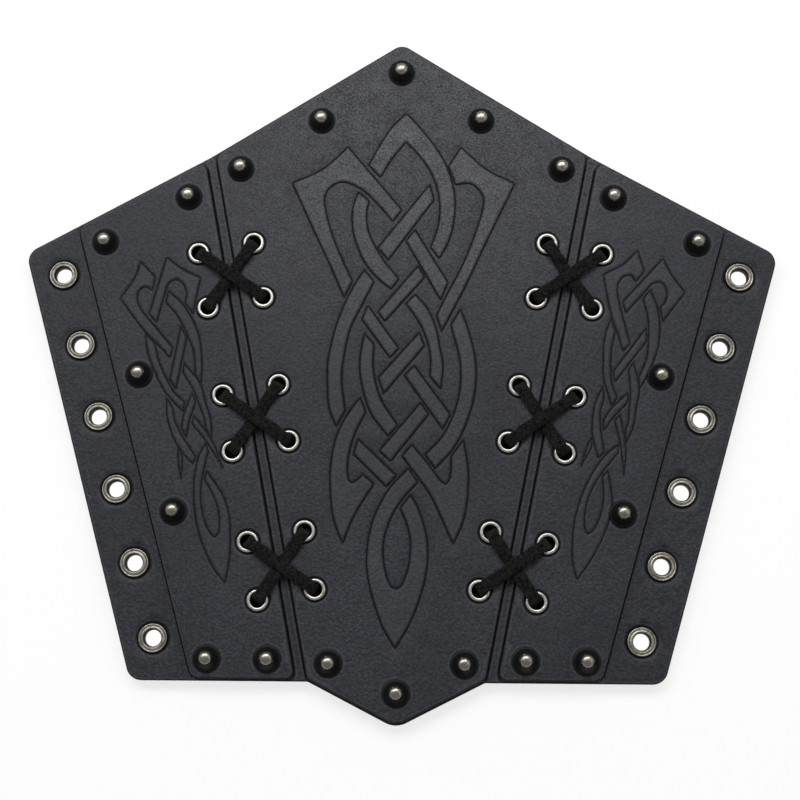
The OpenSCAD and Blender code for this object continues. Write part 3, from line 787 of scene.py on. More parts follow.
SMALL_KNOT = [
    [[-5, 41.7], [-1.1, 35], [-3.1, 30.6, -5.1, 32.5, -7.3, 31.8, -8.7, 29, -8.5, 26, -4.4, 17.2],
     [-0.3, 9.2], [-2, 5.9, -4.8, 11.1, -8.3, 16.7], [-14.4, 30.4, -8.1, 36.4]],
    [[4.1, 41, 8.7, 35.5], [14, 31.1, 11, 24.3], [8.9, 19.2], [6.9, 23.6, 8.2, 26.8, 7.7, 30.4, 5.5,
     32.5, 2.8, 31.6, 0.8, 28.1], [-4, 19.2], [-5.8, 22.7]],
    [[2.3, 29.1, 6, 23.6, 8.3, 17.1, 9.2, 10.8, 8.7, 4.4, 7.8, -0.6], [6.3, -5.4], [5.2, -1.7, 6.3,
     5.8, 5.5, 11.7, 3.7, 19.2], [0.6, 25.5]],
    [[3.9, 15.8], [5, 11.4], [-2.2, -5.1], [-3.6, -1.7]],
    [[-8.4, 16.3, -9, 9.1, -7.7, 1, -6, -5.1], [-1.4, -13.4], [-0.3, -10.1, -2.9, -6.2, -4.4, -1.6,
     -5.9, 5.7], [-5.9, 11.8]],
    [[2.3, 2.9, 6.2, -5, 6.6, -11.7, 7.1, -18.4], [6, -24.7], [4.8, -20.4, 5.1, -17.9, 4.1, -10.6,
     3.6, -7.3], [1.3, 0.1]],
    [[-5.8, -7.5, -7, -13.7, -6.6, -19.9, -5.4, -24.9], [-1.9, -31.7], [-0.4, -29.5, -3.3, -21.6,
     -4.7, -16.1], [-4.5, -11.6]],
    [[2.8, -7.7, -1.3, -14.1], [-3.1, -18.8], [-2.2, -22.3, -0.1, -17.2], [3.5, -10.9]],
    [[1.9, -15.5, 5.8, -24.7, 7, -29.6], [7.7, -35.4, 6.3, -30.9, 3.9, -24.7], [0.7, -18.1]],
    [[-5.6, -25.5, -6.2, -27.9, -6.6, -31.5], [-6.8, -35.8], [-4.8, -28.5]],
    [[3.7, -25.6, 0.6, -29.5, -1.9, -35, -3.7, -41.5, -4.7, -49.2, -4.6, -56.1, -3.3, -63.8, -2,
     -68.2], [0.4, -73, 2.9, -67, 5, -59.7, 6.4, -50.9, 6, -45.3, 4.3, -40.2], [2.2, -35], [0.8,
     -37.5, 2.4, -42.5, 3.2, -47.4, 2.9, -52.1, 1.9, -55.7, 0.4, -57.3, -1, -55.5, -2.1, -49.8,
     -1.7, -43.5, -0.3, -38.2, 1.9, -33.1], [4.1, -28.5]],
]
GROUND_FADE, PLATE_STEP, PLATE_RADII = 2.4, 2.2, (0.25, 0.5)


def curved(run, step=0.7):
    """A smooth curve through the points of one run of an outline."""
    p = np.array(run, float).reshape(-1, 2)
    if len(p) == 2:
        n = max(1, round(np.linalg.norm(p[1] - p[0]) / step))
        return [p[0] + (p[1] - p[0]) * k / n for k in range(n)]
    p = np.vstack([2 * p[0] - p[1], p, 2 * p[-1] - p[-2]])
    out = []
    for a, b, c, d in zip(p, p[1:], p[2:], p[3:]):
        t = np.cumsum([0] + [np.linalg.norm(v - u) ** 0.5 for u, v in ((a, b), (b, c), (c, d))])
        n = max(1, round(np.linalg.norm(c - b) / step))
        for s in t[1] + (t[2] - t[1]) * np.arange(n) / n:
            def mix(u, v, low, high):
                span = t[high] - t[low]
                return (t[high] - s) / span * u + (s - t[low]) / span * v
            ab, bc, cd = mix(a, b, 0, 1), mix(b, c, 1, 2), mix(c, d, 2, 3)
            out.append(mix(mix(ab, bc, 0, 2), mix(bc, cd, 1, 3), 1, 2))
    return out


def die(outlines, turn=0.0, move=(0, 0)):
    """The closed outlines of a knot's bands, turned and moved into place."""
    c, s = math.cos(turn), math.sin(turn)
    made = []
    for outline in outlines:
        loop = np.array([p for i, run in enumerate(outline)
                         for p in curved([*run, *outline[(i + 1) % len(outline)][:2]])])
        made.append(loop @ np.array([[c, s], [-s, c]]) + move)
    return made


def beside(loops, dense, d, longest=1.4, least=0.85, cell=0.16):
    """Rows of points at the distance d on both sides of the tooled lines. At sharp
    corners a point moves no further than longest times d, and none lies nearer
    than least times d. Only one is kept in a cell."""
    rows = []
    for loop in loops:
        move = inward(loop)
        move /= np.maximum(1, np.linalg.norm(move, axis=1) / longest)[:, None]
        rows += [loop + d * move, loop - d * move]
    rows = np.concatenate(rows)
    rows = rows[distance(rows, dense) > least * d]
    return rows[np.unique(np.round(rows / cell), axis=0, return_index=True)[1]]


def waves(xy, rise=0.09, size=23.0):
    """Slight unevenness of hide, in mm."""
    x, y = xy[:, 0] / size, xy[:, 1] / size
    return rise * (np.sin(2.1 * x + 1.3 * np.sin(1.7 * y))
                   * np.cos(1.6 * y + 0.9 * np.sin(2.3 * x)))


# Painted light: the plates' copy of the same leather is 13% lighter than the base sheet's.
plate_leather = leather("plate_leather", 61, 1.13)
centre_eyelets = eyelet_places(-1) + flipped(eyelet_places(-1))
all_centre_studs = [elbow_stud, wrist_stud, *centre_studs, *flipped(centre_studs)]
# Rows of points beside the lines, and how far other points keep off them
OUTER_ROW, RIM_CLEAR, LINE_CLEAR, RING_CLEAR = 1.1, 0.7, 1.5, 0.9
RING_RIM_CLEAR, RING_LINE_CLEAR = 0.8, 0.4
# The shallow hollow that a clenched eyelet draws into the leather round it
HOLLOW_R, HOLLOW_W, HOLLOW_DEPTH = 4.0, 0.9, 0.14


def plate(label, body, cut, eyelets, studs, knot, half, depth, ground_depth, shade):
    """half and depth are those of the tooled lines, ground_depth is how far the
    ground between the bands is pressed down, and shade scales the painted shade in
    the lines and the painted light and shade beside them."""
    holes = [hole(p, eyelet_hole_r) for p in eyelets] + screw_holes(studs)
    dense = finely(knot)
    near = np.concatenate([beside(knot, dense, d) for d in (0.4 * half, half, OUTER_ROW)])
    near = near[distance(near, finely([cut[0], *holes])) > RIM_CLEAR]
    grid = spread([cut[0], *holes], PLATE_STEP)
    grid = grid[distance(grid, dense) > LINE_CLEAR]
    edges = finely([cut[0], *holes], 0.25)
    # Rings round the eyelets' and studs' feet, round which the plate gets painted shadow.
    seats = finely([hole(p, EYELET_FLANGE_R) for p in eyelets]
                   + [hole(p, STUD_R - STUD_SEAT) for p in studs])
    rings = np.concatenate([hole(p, r + d, 36) for r, spots in (
        (EYELET_FLANGE_R, eyelets), (STUD_R, studs)) for p in spots for d in (*FOOT_RINGS, 1.2)])
    rings = rings[distance(rings, finely([cut[0]], 0.5)) > RING_RIM_CLEAR]
    grid = grid[distance(grid, rings) > RING_CLEAR]
    rings = rings[distance(rings, dense) > RING_LINE_CLEAR]

    def pressed(xy):
        far = distance(xy, dense)
        line = 1 - smooth_step(far, 0.04, half)
        ground = np.where(inside(xy, knot), 0,
                          smooth_step(far, 0.1, 0.5) * np.exp(-(far / GROUND_FADE) ** 2))
        edge = distance(xy, edges)
        hollow = np.exp(-((nearest(xy, eyelets) - HOLLOW_R) / HOLLOW_W) ** 2)
        feet = dent(xy, eyelets, EYELET_FLANGE_R)
        return (waves(xy) * smooth_step(edge, 0.3, 4) - depth * line - ground_depth * ground
                - (HOLLOW_DEPTH * hollow + DENT_DEPTH * feet) * smooth_step(edge, 0, 0.6))

    def marks(verts):
        xy = verts[:, :2]
        far = distance(xy, dense)
        # rim: dark cut edges and painted shadow round the feet; cut: painted shade in the tooled
        # lines; band: paler bands with a painted highlight along their lines, and below zero
        # painted shade on the pressed ground beside them.
        return {"rim": rim_marks(verts, edges, seats),
                "cut": shade * (1 - smooth_step(far, half / 4, half * 3 / 4)),
                "band": shade ** 4 * smooth_step(far, 0.1, 0.7) * np.where(
                    inside(xy, knot), 1 + 0.8 * np.exp(-((far - 0.8) / 0.3) ** 2),
                    -0.6 * np.exp(-(far / 4.5) ** 2))}

    obj = sheet(f"leather_plate_{label}", plate_leather, cut, holes, (PLATE_Z, TOP_Z),
                PLATE_RADII, np.concatenate([near, rings, grid]), marks, knot, top=pressed)
    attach(obj, body)
    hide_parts(f"{label}_plate")


SMALL_TURN = math.radians(13.73)
shallow = {"half": 0.32, "depth": 0.5, "ground_depth": 0.22, "shade": 0.85}
plate("centre", "centre", centre_cut, centre_eyelets, all_centre_studs, die(KNOT),
      half=0.43, depth=0.75, ground_depth=0.45, shade=1.0)
plate("right", "right_wing", wing_cut, eyelet_places(1), wing_studs,
      die(SMALL_KNOT, -SMALL_TURN, (76.21, 1.06)), **shallow)
plate("left", "left_wing", left_of(wing_cut), flipped(eyelet_places(1)), flipped(wing_studs),
      die(SMALL_KNOT, SMALL_TURN, (-74.53, -1.05)), **shallow)

# Studs. Each is a black steel cone on a short foot, with a bright round cap where
# the black is polished off. A screw from behind clamps it to the leather.
STUD_H = 5.0


def turned(name, points, z, profile, finish, sides, seed):
    """A turned part on each of the points: Geometry Nodes turn the profile, points
    of (radius, height) in mm, round an axis and set a copy on each place."""
    core, tilt = 0.5, (0, 0, 3.1)
    outline = placed("profile", mesh_of("profile", [(r - core, -h, 0) for r, h in profile],
                                        [(i, i + 1) for i in range(len(profile) - 1)]))
    spots = placed("places", mesh_of("places", [(*p, z) for p in points]))
    tree = bpy.data.node_groups.new(name, "GeometryNodeTree")
    tree.is_modifier = True
    tree.interface.new_socket("Geometry", in_out="OUTPUT", socket_type="NodeSocketGeometry")
    sockets = {label: tree.interface.new_socket(
        label, in_out="INPUT", socket_type="NodeSocket" + kind).identifier
        for label, kind in (("Geometry", "Geometry"), ("Profile", "Object"), ("Sides", "Int"),
                            ("Core", "Float"), ("Seed", "Int"), ("Finish", "Material"))}
    made = Nodes(tree)
    given = {s.name: Wire(made, s) for s in tree.nodes.new("NodeGroupInput").outputs}
    line = made.add("GeometryNodeMeshToCurve", {}, {0: made.add(
        "GeometryNodeObjectInfo", {}, {"Object": given["Profile"]}, "Geometry")})
    circle = made.add("GeometryNodeCurvePrimitiveCircle", {},
                      {"Resolution": given["Sides"], "Radius": given["Core"]})
    swept = made.add("GeometryNodeCurveToMesh", {}, {0: circle, 1: line})
    closed = made.add("GeometryNodeMergeByDistance", {}, {0: swept, "Distance": 1e-6})
    turn = made.add("FunctionNodeRandomValue", {"data_type": "FLOAT_VECTOR"}, {
        0: tuple(-a for a in tilt), 1: tilt, "Seed": given["Seed"]})
    copies = made.add("GeometryNodeInstanceOnPoints", {}, {
        "Points": given["Geometry"], "Instance": closed, "Rotation": turn})
    real = made.add("GeometryNodeRealizeInstances", {}, {0: copies})
    coated = made.add("GeometryNodeSetMaterial", {}, {0: real, "Material": given["Finish"]})
    made.feed(tree.nodes.new("NodeGroupOutput").inputs[0], coated)
    maker = spots.modifiers.new("turned", "NODES")
    maker.node_group = tree
    for label, value in (("Profile", outline), ("Sides", sides), ("Core", core * MM),
                         ("Seed", seed), ("Finish", finish.material)):
        maker[sockets[label]] = value
    graph = bpy.context.evaluated_depsgraph_get()
    mesh = bpy.data.meshes.new_from_object(spots.evaluated_get(graph))
    bpy.data.objects.remove(outline)
    bpy.data.objects.remove(spots)
    return placed(name, outward(mesh))


def fittings(title, node, finish, sides, spots, z, profile):
    """Turned parts, as one piece for each (label, body, places, seed) of the spots."""
    for label, body, places, seed in spots:
        obj = turned(f"{title}_{label}", places, z, profile, finish, sides, seed)
        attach(obj, body)
        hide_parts(f"{label}_{node}")


def on_plates(centre, wing, seeds):
    """The spots of fittings on the three plates, the left wing's like the right's."""
    return zip(("centre", "right", "left"), ("centre", "right_wing", "left_wing"),
               (centre, wing, flipped(wing)), seeds)


def arc(r, z, size, start, end, n):
    """Profile points round a centre, between two angles in degrees."""
    return [(r + size * math.cos(math.radians(start + (end - start) * k / n)),
             z + size * math.sin(math.radians(start + (end - start) * k / n)))
            for k in range(n + 1)]


def metal(name, dark, light, rough, lip=None):
    """Plated metal: mottled colour, fine scratches and a worn, uneven gloss. An
    eyelet is dull inside and round its foot, up to the height of its lip, and near
    black there as painted shade."""
    finish = Finish(name, Metallic=1.0)
    places = finish.places()
    stain = finish.noise(places, 1.2, 4, 0.6)
    fine = finish.noise(places, 0.25, 2, 0.5)
    colour = finish.between(finish.ramp(stain * 0.75 + fine * 0.25, (0.32, 0.0), (0.62, 1.0)),
                            (*dark, 1), (*light, 1))
    gloss = rough + stain * 0.14 - 0.05
    if lip:
        height = finish.add("SeparateXYZ", {}, {0: places}, 2) * 0.1
        dull = finish.ramp(height, (0.24, 0.0), (0.25, 1.0), (lip / 10 - 0.004, 1.0),
                           (lip / 10 + 0.004, 0.0))
        # Painted shade: near black down the bore and round the flange's foot.
        colour = finish.between(dull * 0.95, colour, (0.008, 0.0065, 0.004, 1))
        gloss = gloss + dull * 0.35
    finish.set("Base Color", colour)
    finish.set("Roughness", gloss)
    finish.set("Normal", finish.bump(fine, 0.012))
    return finish


stud_finish = Finish("black_metal", Specular_IOR_Level=0.14)
stud_places = stud_finish.places()
stud_height = stud_finish.add("SeparateXYZ", {}, {0: stud_places}, 2)
stud_wear = stud_finish.noise(stud_places, 0.8, 4, 0.65)
bare = stud_finish.ramp((stud_height - (TOP_Z + 4.0)) + stud_wear * 0.35 - 0.17,
                        (0.0, 0.0), (0.06, 1.0))
stud_finish.set("Base Color", stud_finish.between(
    bare, stud_finish.between(stud_wear, (0.0015, 0.0015, 0.0017, 1), (0.007, 0.007, 0.008, 1)),
    stud_finish.between(stud_wear, (0.15, 0.14, 0.115, 1), (0.36, 0.34, 0.295, 1))))
stud_finish.set("Metallic", bare)
stud_finish.set("Roughness", 0.42 - bare * 0.2 + stud_wear * 0.1)
stud_finish.set("Normal", stud_finish.bump(stud_finish.noise(stud_places, 0.4, 3, 0.6), 0.02))

stud_profile = ([(0, 0), (STUD_R - 0.15, 0)] + arc(STUD_R - 0.15, 0.15, 0.15, -90, 0, 2)[1:]
                + arc(STUD_R - 0.2, 0.42, 0.2, 0, 70, 3)
                + [(3.98, 0.6), (3.9, 0.78), (3.35, 1.85), (2.78, 3.0), (2.42, 3.72)]
                + arc(2.2, 3.78, 0.2, 0, 80, 3)
                + [(2.06, 3.98), (2.0, 4.1), (1.96, 4.3), (1.8, 4.52), (1.5, 4.71),
                   (1.1, 4.87), (0.6, 4.96), (0, STUD_H)])
fittings("cone_studs", "studs", stud_finish, 48,
         on_plates(all_centre_studs, wing_studs, (3, 5, 8)), TOP_Z, stud_profile)

screw_steel = metal("screw_steel", (0.30, 0.29, 0.27), (0.50, 0.49, 0.46), 0.34)
for label in ("centre", "left", "right"):
    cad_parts[f"{label}_stud_screws"].data.materials[0] = screw_steel.material

# Small eyelets. Nickel-plated brass tubes line the laces' holes on both sides of
# the seams. Each has a narrow domed flange on the face and is rolled over a
# washer behind the base sheet.
EYELET_DOME_H, WASHER_T, ROLL_H, ROLL_W = 0.8, 0.4, 0.3, 0.6


def eyelet_profile(bore, flange, face, crown):
    """Closed profile: tube, flange and rolled end. The crown is the flange's face,
    as shares of its width outside the bore and heights in mm."""
    tube = bore + EYELET_WALL
    back = LINING_T - WASHER_T
    return ([(tube, back), (tube, face - 0.02), (flange - 0.12, face - 0.02)]
            + [(bore + share * (flange - bore), face + height) for share, height in crown]
            + [(bore, face - 0.6), (bore, back - ROLL_H + 0.12),
               (bore + 0.1, back - ROLL_H), (tube + ROLL_W - 0.2, back - ROLL_H),
               (tube + ROLL_W, back - 0.12), (tube + ROLL_W - 0.05, back), (tube, back)])


small_crown = [(1, 0), (0.98, 0.15), (0.92, 0.3), (0.86, 0.42), (0.8, 0.56), (0.73, 0.68),
               (0.64, 0.76), (0.52, EYELET_DOME_H), (0.38, EYELET_DOME_H), (0.25, 0.77),
               (0.15, 0.71), (0.08, 0.62), (0.03, 0.47), (0.01, 0.3), (0, 0)]
eyelet_nickel = metal("eyelet_nickel", (0.30, 0.29, 0.255), (0.56, 0.545, 0.495), 0.32,
                      TOP_Z + 0.42)
fittings("small_eyelets", "eyelets", eyelet_nickel, 48,
         on_plates(centre_eyelets, eyelet_places(1), (11, 12, 13)), 0,
         eyelet_profile(EYELET_BORE_R, EYELET_FLANGE_R, TOP_Z, small_crown))
for label in ("centre", "right", "left"):
    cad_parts[f"{label}_eyelet_washers"].data.materials[0] = eyelet_nickel.material

# Large eyelets. Six antique nickel ones with broad ringed flanges stand in each
# margin, straight on the base sheet, for the cord that closes the bracer.
GROMMET_DOME_H, GROMMET_WASHER_R = 1.0, 4.9
grommet_nickel = metal("grommet_nickel", (0.16, 0.15, 0.125), (0.40, 0.38, 0.33), 0.30,
                       PLATE_Z + 0.6)
large_crown = [(1, 0), (0.98, 0.2), (0.93, 0.36), (0.89, 0.5), (0.86, 0.62), (0.81, 0.71),
               (0.75, 0.73), (0.69, 0.67), (0.65, 0.57), (0.61, 0.57), (0.57, 0.68), (0.5, 0.8),
               (0.42, 0.91), (0.35, 0.98), (0.29, GROMMET_DOME_H), (0.23, 0.93), (0.18, 0.78),
               (0.14, 0.6), (0.09, 0.36), (0.04, 0.12), (0, -0.15)]
washer_bore, washer_back = GROMMET_BORE_R + EYELET_WALL + 0.05, LINING_T - WASHER_T
washer_profile = [(washer_bore, LINING_T), (washer_bore, washer_back + 0.08),
                  (3.3, washer_back), (4.3, washer_back), (4.72, washer_back + 0.08),
                  (GROMMET_WASHER_R, LINING_T - 0.1), (GROMMET_WASHER_R, LINING_T),
                  (washer_bore, LINING_T)]
for hand, places in (("right", grommet_places), ("left", flipped(grommet_places))):
    for title, node, seed, profile in (
            ("large_eyelets", "grommets", 21,
             eyelet_profile(GROMMET_BORE_R, GROMMET_FLANGE_R, PLATE_Z, large_crown)),
            ("large_washers", "grommet_washers", 22, washer_profile)):
        fittings(title, node, grommet_nickel, 64, [(hand, f"{hand}_margin", places, seed)],
                 0, profile)

# Lining. A padded pale cloth is glued to the back of the base sheet. It hides the
# laces and the screws, is pressed thin along the folds so that they can close,
# and is cut away round the large eyelets' washers.
LINING_INSET, LINING_STEP, LINING_RADII = 1.0, 2.2, (0.2, 0.2)
CHANNEL, THIN, LACE_W, PUFF = 4.4, 0.6, 4.3, 0.25
cloth = Finish("lining_fabric", Specular_IOR_Level=0.25, Sheen_Weight=0.15, Sheen_Roughness=0.5)
cloth_places = cloth.places(turn=0.06)
wave_x, wave_y = (cloth.add(
    "TexWave", {"bands_direction": way, "wave_profile": "SIN"},
    {"Vector": cloth_places, "Scale": 0.32, "Distortion": 0.5, "Detail": 2}) for way in "XY")
checker = cloth.add("TexChecker", {}, {"Vector": cloth_places, "Scale": 1.018}, 1)
threads = wave_x * checker + wave_y * (1 - checker)
fluff = cloth.noise(cloth_places, 6, 4, 0.6)
weave = cloth.between(threads * 0.6 + fluff * 0.4, (0.36, 0.35, 0.32, 1), (0.60, 0.585, 0.55, 1))
# Painted shade: the glued side, seen only down the eyelets' bores, is near black.
cloth.set("Base Color", cloth.between(cloth.mark("glued"), weave, (0.002, 0.002, 0.002, 1)))
cloth.set("Roughness", 0.85 + fluff * 0.1)
cloth.set("Normal", cloth.bump(threads, 0.12))


def lining_under(xy):
    """How far the back of the cloth is drawn in towards the base sheet."""
    right = on_right(xy)
    gap = np.minimum(np.abs(over_line(right, seam_line)), np.abs(over_line(right, margin_fold)))
    wrist_end = np.maximum(over_line(right, wrist_line), over_line(right, v_line))
    edge = np.min([over_line(right, line) for line in (elbow_line, shoulder_line, side_line)]
                  + [wrist_end], axis=0)
    channel = (LINING_T - THIN) * (1 - smooth_step(gap, 1.5, CHANNEL / 2))
    soft = PUFF * sum(np.exp(-(far - start).clip(0) / fade) for far, start, fade in (
        (gap, 2.2, 2.4), (edge, 1.0, 2.4), (nearest(right, grommet_places), 5.2, 1.6)
    )).clip(0, 1.6)
    return np.maximum(channel, soft)


# Pockets in the side that is glued down: round ones over the washers and screw
# heads, and channels for the runs of the lace, as boxes in the right seam's frame.
POCKET_GAP, POCKET_FLOOR, CHANNEL_FLOOR, WALL = 0.3, 1.95, 0.6, 0.35
EYELET_POCKET_R, SCREW_POCKET_R = 4.3 + POCKET_GAP, 3.7 + POCKET_GAP
run_half, run_reach = LACE_W / 2 + POCKET_GAP, EYELET_BORE_R + POCKET_GAP
round_pockets = ([(p, EYELET_POCKET_R) for side in (-1, 1) for p in eyelet_places(side)]
                 + [(p, SCREW_POCKET_R) for p in
                    (elbow_stud, wrist_stud, *centre_studs, *wing_studs)])
run_pockets = [(side * CROSS_W / 2, (low + high) / 2, run_half,
                (high - low - CROSS_L) / 2 + run_reach)
               for side in (-1, 1) for low, high in zip(cross_middles, cross_middles[1:])]
run_pockets += [(0, y, CROSS_W / 2 + run_reach, run_half)
                for y in (cross_middles[0] - CROSS_L / 2, cross_middles[-1] + CROSS_L / 2)]


def lining_over(xy):
    """How far the glued side is cut in, over the pockets."""
    right = on_right(xy)
    x, y = over_line(right, seam_line), (right - seam_line[0]) @ seam_line[1]
    return -np.max([(LINING_T - floor_z) * (1 - smooth_step(np.min(near, axis=0), -WALL, 0))
                    for floor_z, near in (
        (POCKET_FLOOR, [np.hypot(*(right - p).T) - r for p, r in round_pockets]),
        (CHANNEL_FLOOR, [np.maximum(np.abs(x - cx) - w, np.abs(y - cy) - h)
                         for cx, cy, w, h in run_pockets]))], axis=0)


def pocket_points():
    """Close rows of points along the walls of the pockets, on both sides."""
    rows = []
    for d in (-WALL - 0.1, -WALL / 2, 0.05):
        rows += [hole(p, r + d, 32) for p, r in round_pockets]
        for cx, cy, w, h in run_pockets:
            w, h = w + d, h + d
            across_end, along_side = np.arange(-w, w, 0.9), np.arange(-h, h, 1.2)
            rows += [np.array([in_line(seam_line, cx + x, cy + y) for x, y in (
                *((x, k * h) for x in [*across_end, w] for k in (-1, 1)),
                *((k * w, y) for y in along_side for k in (-1, 1)))])]
    rows = np.concatenate(rows)
    return np.concatenate([rows, rows * [-1, 1]])


channel_rows = [-3.4, -2.6, -2.2, -2, -1.75, -1.5, -1.2, -0.8, -0.4]
channel_rows += [0] + [-x for x in reversed(channel_rows)]
cut_outs = [hole(p, GROMMET_WASHER_R + POCKET_GAP, 48) for p in grommet_places]
cut_outs += [left_hole(h) for h in cut_outs]
walls = pocket_points()
for label, hand, cut, dots in layer_parts(
        LINING_INSET, fold_points(seam_line, channel_rows, -20, 220, 2),
        fold_points(margin_fold, channel_rows, -20, 170, 2)):
    own = own_holes(cut, cut_outs)
    grid = spread([cut[0], *own], LINING_STEP)
    dots = held([*dots, *walls], cut[0], own, RIM_CLEAR)
    # The glued side's mark, for its painted shade.
    obj = layer_part(
        "padded_lining", "lining", label, hand, cloth, cut, own, (0, LINING_T), LINING_RADII,
        np.concatenate([dots, grid[distance(grid, dots) > LINING_STEP / 2]]),
        lambda verts: {"glued": np.abs(
            verts[:, 2] - LINING_T - lining_over(verts[:, :2])) < 0.01},
        top=lining_over, under=lining_under)

# Laces. One flat strip of black suede works each seam as a closed loop: it makes
# three crosses on the face, goes down the eyelets, and runs behind the base sheet.
LACE_T, LACE_GAP, LACE_REACH = 1.2, 0.15, 7.8
LACE_LEAD, TURN_RUN, TURN_DROP, TURN_STEPS = 3.9, 2.3, 2.2, 8
STRAP_GAP, STRAP_POINTS, NAP_STEP = 0.8, 15, 0.8
FRAY, NAP, TRIM, EDGE_W = 0.14, 0.08, 0.06, 0.5
front_z = TOP_Z + EYELET_DOME_H + LACE_GAP + LACE_T / 2
under_z = TOP_Z + LACE_GAP + LACE_T / 2
over_z = under_z + LACE_T + LACE_GAP
back_z = LINING_T - WASHER_T - ROLL_H - LACE_GAP - LACE_T / 2
lean = math.atan2(CROSS_W, CROSS_L)
quarter = [math.pi / 2 * i / TURN_STEPS for i in range(TURN_STEPS + 1)]
front_turn = [(LACE_LEAD, 0)] + [(TURN_RUN * (1 - math.sin(a)), TURN_DROP * (math.cos(a) - 1))
                                 for a in quarter]
back_turn = [(run, -drop) for run, drop in reversed(front_turn)]


def pass_down(eyelet, front_way, back_way, front_angle, back_angle):
    """Through an eyelet, from the strap on the face to the run behind."""
    return [(eyelet[0] + r * way[0], eyelet[1] + r * way[1], z + d, angle)
            for way, z, angle, turn in ((front_way, front_z, front_angle, front_turn),
                                        (back_way, back_z, back_angle, back_turn))
            for r, d in turn]


def lace_way(first_side):
    """One way along the seam, from the elbow end to the wrist end."""
    way = []
    for k, middle in enumerate(reversed(cross_middles)):
        side = first_side * (1 if k % 2 == 0 else -1)
        p = np.array([side * CROSS_W / 2, middle + CROSS_L / 2])
        q = np.array([-side * CROSS_W / 2, middle - CROSS_L / 2])
        length, u = np.linalg.norm(q - p), units(q - p)
        first, last = k == 0, k == len(cross_middles) - 1
        strap_angle, end_angle = -side * lean, -side * math.pi / 2
        way += pass_down(p, u, (-side, 0) if first else (0, 1), strap_angle,
                         end_angle if first else 0)[::-1]
        z = over_z if side > 0 else under_z
        for s in np.linspace(LACE_LEAD + STRAP_GAP, length - LACE_LEAD - STRAP_GAP, STRAP_POINTS):
            rise = smooth_step(min(s, length - s), LACE_LEAD, length / 2 - LACE_W)
            way.append((*(p + s * u), front_z + (z - front_z) * float(rise), strap_angle))
        way += pass_down(q, -u, (side, 0) if last else (0, -1), strap_angle,
                         end_angle if last else 0)
    return way


def lace_section():
    """Across the strip: flat faces and rounded edges, as (across, through)."""
    r = LACE_T / 2
    right = [(LACE_W / 2 - r + r * math.cos(a), r * math.sin(a))
             for a in np.linspace(-math.pi / 2, math.pi / 2, 7)]
    top = [(x, r + 0.05 * (1 - (x / 1.2) ** 2)) for x in np.linspace(0.9, -0.9, 5)]
    return right + top + [(-x, -z) for x, z in right + top]


suede = Finish("lace_leather", Specular_IOR_Level=0.05, Sheen_Weight=0.03, Sheen_Roughness=0.6)
suede_places = suede.places()
fibre = suede.noise(suede_places, 0.8, 5, 0.8)
tuft = suede.noise(suede_places, 2.2, 3, 0.6)
nap_colour = suede.between(suede.ramp(fibre * 0.8 + tuft * 0.2, (0.42, 0.0), (0.64, 1.0)),
                           (0.0004, 0.0004, 0.0004, 1), (0.0195, 0.0195, 0.0188, 1))
# Painted shade: near black where the lace sinks into the eyelets and runs behind.
suede.set("Base Color", suede.between(suede.mark("deep") * 0.97, nap_colour,
                                      (0.0002, 0.0002, 0.0002, 1)))
suede.set("Roughness", 0.95)
suede.set("Normal", suede.bump(fibre, 0.4))


def lace(hand):
    """One closed loop, down the seam one way and up the other, with a ragged nap."""
    coarse = lace_way(-1) + [(x, y, z, a + math.pi) for x, y, z, a in reversed(lace_way(1))]
    # Long straight stretches get more points, so that the nap can vary along them
    path = []
    for a, b in zip(coarse, coarse[1:] + coarse[:1]):
        a, b = np.array(a, float), np.array(b, float)
        n = max(1, round(np.linalg.norm(b[:3] - a[:3]) / NAP_STEP))
        b[3] = a[3] + (b[3] - a[3] + math.pi) % (2 * math.pi) - math.pi
        path += [a + (b - a) * k / n for k in range(n)]
    path = np.array(path)
    here = path[:, :3]
    ahead = units(np.roll(here, -1, 0) - here)
    along = units(ahead + np.roll(ahead, 1, 0))
    wide = np.column_stack([np.cos(path[:, 3]), np.sin(path[:, 3]), np.zeros(len(path))])
    thick = units(np.cross(along, wide))
    rng = np.random.default_rng(7)
    section = lace_section()
    nap = rng.uniform(-1, 1, (len(path), len(section)))
    # Slow changes of width on either edge, and a ragged nap on top of them
    slow = rng.uniform(-1, 1, (len(path), 2))
    slow = (slow + np.roll(slow, 1, 0) + np.roll(slow, 2, 0) + np.roll(slow, 3, 0)) / 2.3
    verts = []
    for i in range(len(path)):
        for j, (x, z) in enumerate(section):
            at_edge = abs(x) > LACE_W / 2 - EDGE_W
            edge = FRAY * slow[i, int(x > 0)] + NAP * nap[i, j] if at_edge else 0
            verts.append(here[i] + (x + math.copysign(1, x) * (edge - TRIM)) * wide[i]
                         + (z + NAP / 2 * nap[i, j]) * thick[i])
    verts = np.array(verts)
    flat = np.array([in_line(seam_line, x, y) for x, y in verts[:, :2]])
    verts[:, :2] = flat * ([-1, 1] if hand == "left" else [1, 1])
    n, m = len(path), len(section)
    faces = [(i * m + j, i * m + (j + 1) % m, (i + 1) % n * m + (j + 1) % m, (i + 1) % n * m + j)
             for i in range(n) for j in range(m)]
    # The mark of how far the lace lies below the face, for painted shade.
    obj = piece(f"suede_lace_{hand}", suede, verts, faces, {
        "deep": 1 - smooth_step(verts[:, 2], TOP_Z - 0.4, TOP_Z + 0.9)})
    folds(obj, hand, seam_line[0], right_of(seam_line), LACE_REACH)
    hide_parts(f"{hand}_lace")


for hand in ("right", "left"):
    lace(hand)

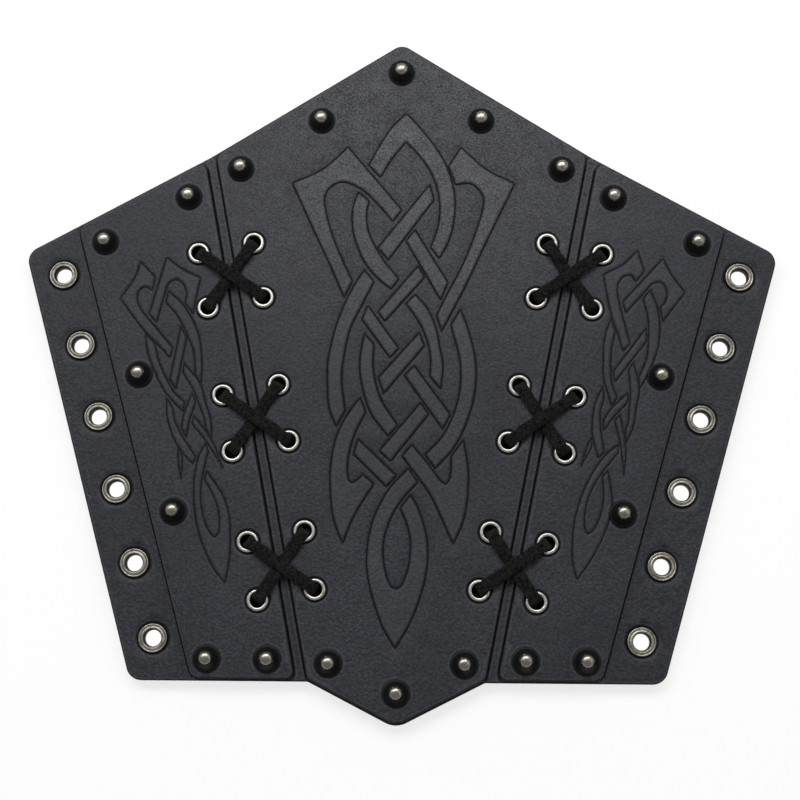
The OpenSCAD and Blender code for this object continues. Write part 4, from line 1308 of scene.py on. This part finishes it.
# Floor and light. A plain white floor lies under the bracer, cut out below it so
# that its wings can fold down, and three soft boxes and a pale sky light it.
FLOOR, OPENING_INSET, SEE_THROUGH = 3000, 3, 0.72
room = Finish("floor_white", Base_Color=(0.94, 0.94, 0.94, 1), Roughness=0.9,
              Specular_IOR_Level=0.1)
veil = room.add("MixShader", {}, {
    0: room.add("LightPath", {}, {}, "Is Camera Ray") * SEE_THROUGH,
    1: Wire(room, room.shader.outputs[0]), 2: room.add("BsdfTransparent", {}, {})})
room.feed(room.tree.nodes["Material Output"].inputs["Surface"], veil)
e, s, o, w, v = lines_in(OPENING_INSET)
opening = np.array(whole([meet(e, middle_line), meet(e, seam_line), meet(s, o), meet(w, o),
                          meet(w, v), meet(v, middle_line)]))[::-1]
square = np.array([(-FLOOR, -FLOOR), (-FLOOR, FLOOR), (FLOOR, FLOOR), (FLOOR, -FLOOR)], float)
floor_xy, floor_faces, _ = fill([square, opening], [])
floor = placed("floor", mesh_of("floor", [(x, y, 0) for x, y in floor_xy], faces=floor_faces))
floor.data.materials.append(room.material)

for name, place, size, power in (("soft_box_over", (-0.12, 0.72, 1.1), (1.4, 0.5), 14),
                                 ("soft_box_left", (-0.95, 0.45, 0.9), (0.5, 0.5), 1.2),
                                 ("soft_box_right", (0.95, 0.2, 1.0), (0.7, 0.7), 1.5)):
    light = bpy.data.lights.new(name, "AREA")
    light.shape = "RECTANGLE"
    light.size, light.size_y = size
    light.energy = power
    box = placed(name, light)
    box.location = place
    box.rotation_euler = (-Vector(place)).to_track_quat("-Z", "Y").to_euler()

world = bpy.data.worlds.new("studio")
bpy.context.scene.world = world
world.use_nodes = True
sky = Nodes(world.node_tree)
height = sky.add("SeparateXYZ", {}, {0: sky.add("TexCoord", {}, {}, "Generated")}, 2)
share = sky.add("MapRange", {}, {"From Min": -1, "Value": height})
sky.feed(sky.tree.nodes["Background"].inputs["Color"],
         sky.ramp(share, (0.49, 1.0), (0.52, 0.8), (0.7, 0.42), (1.0, 0.36)))

bpy.context.scene.view_settings.view_transform = "Standard"
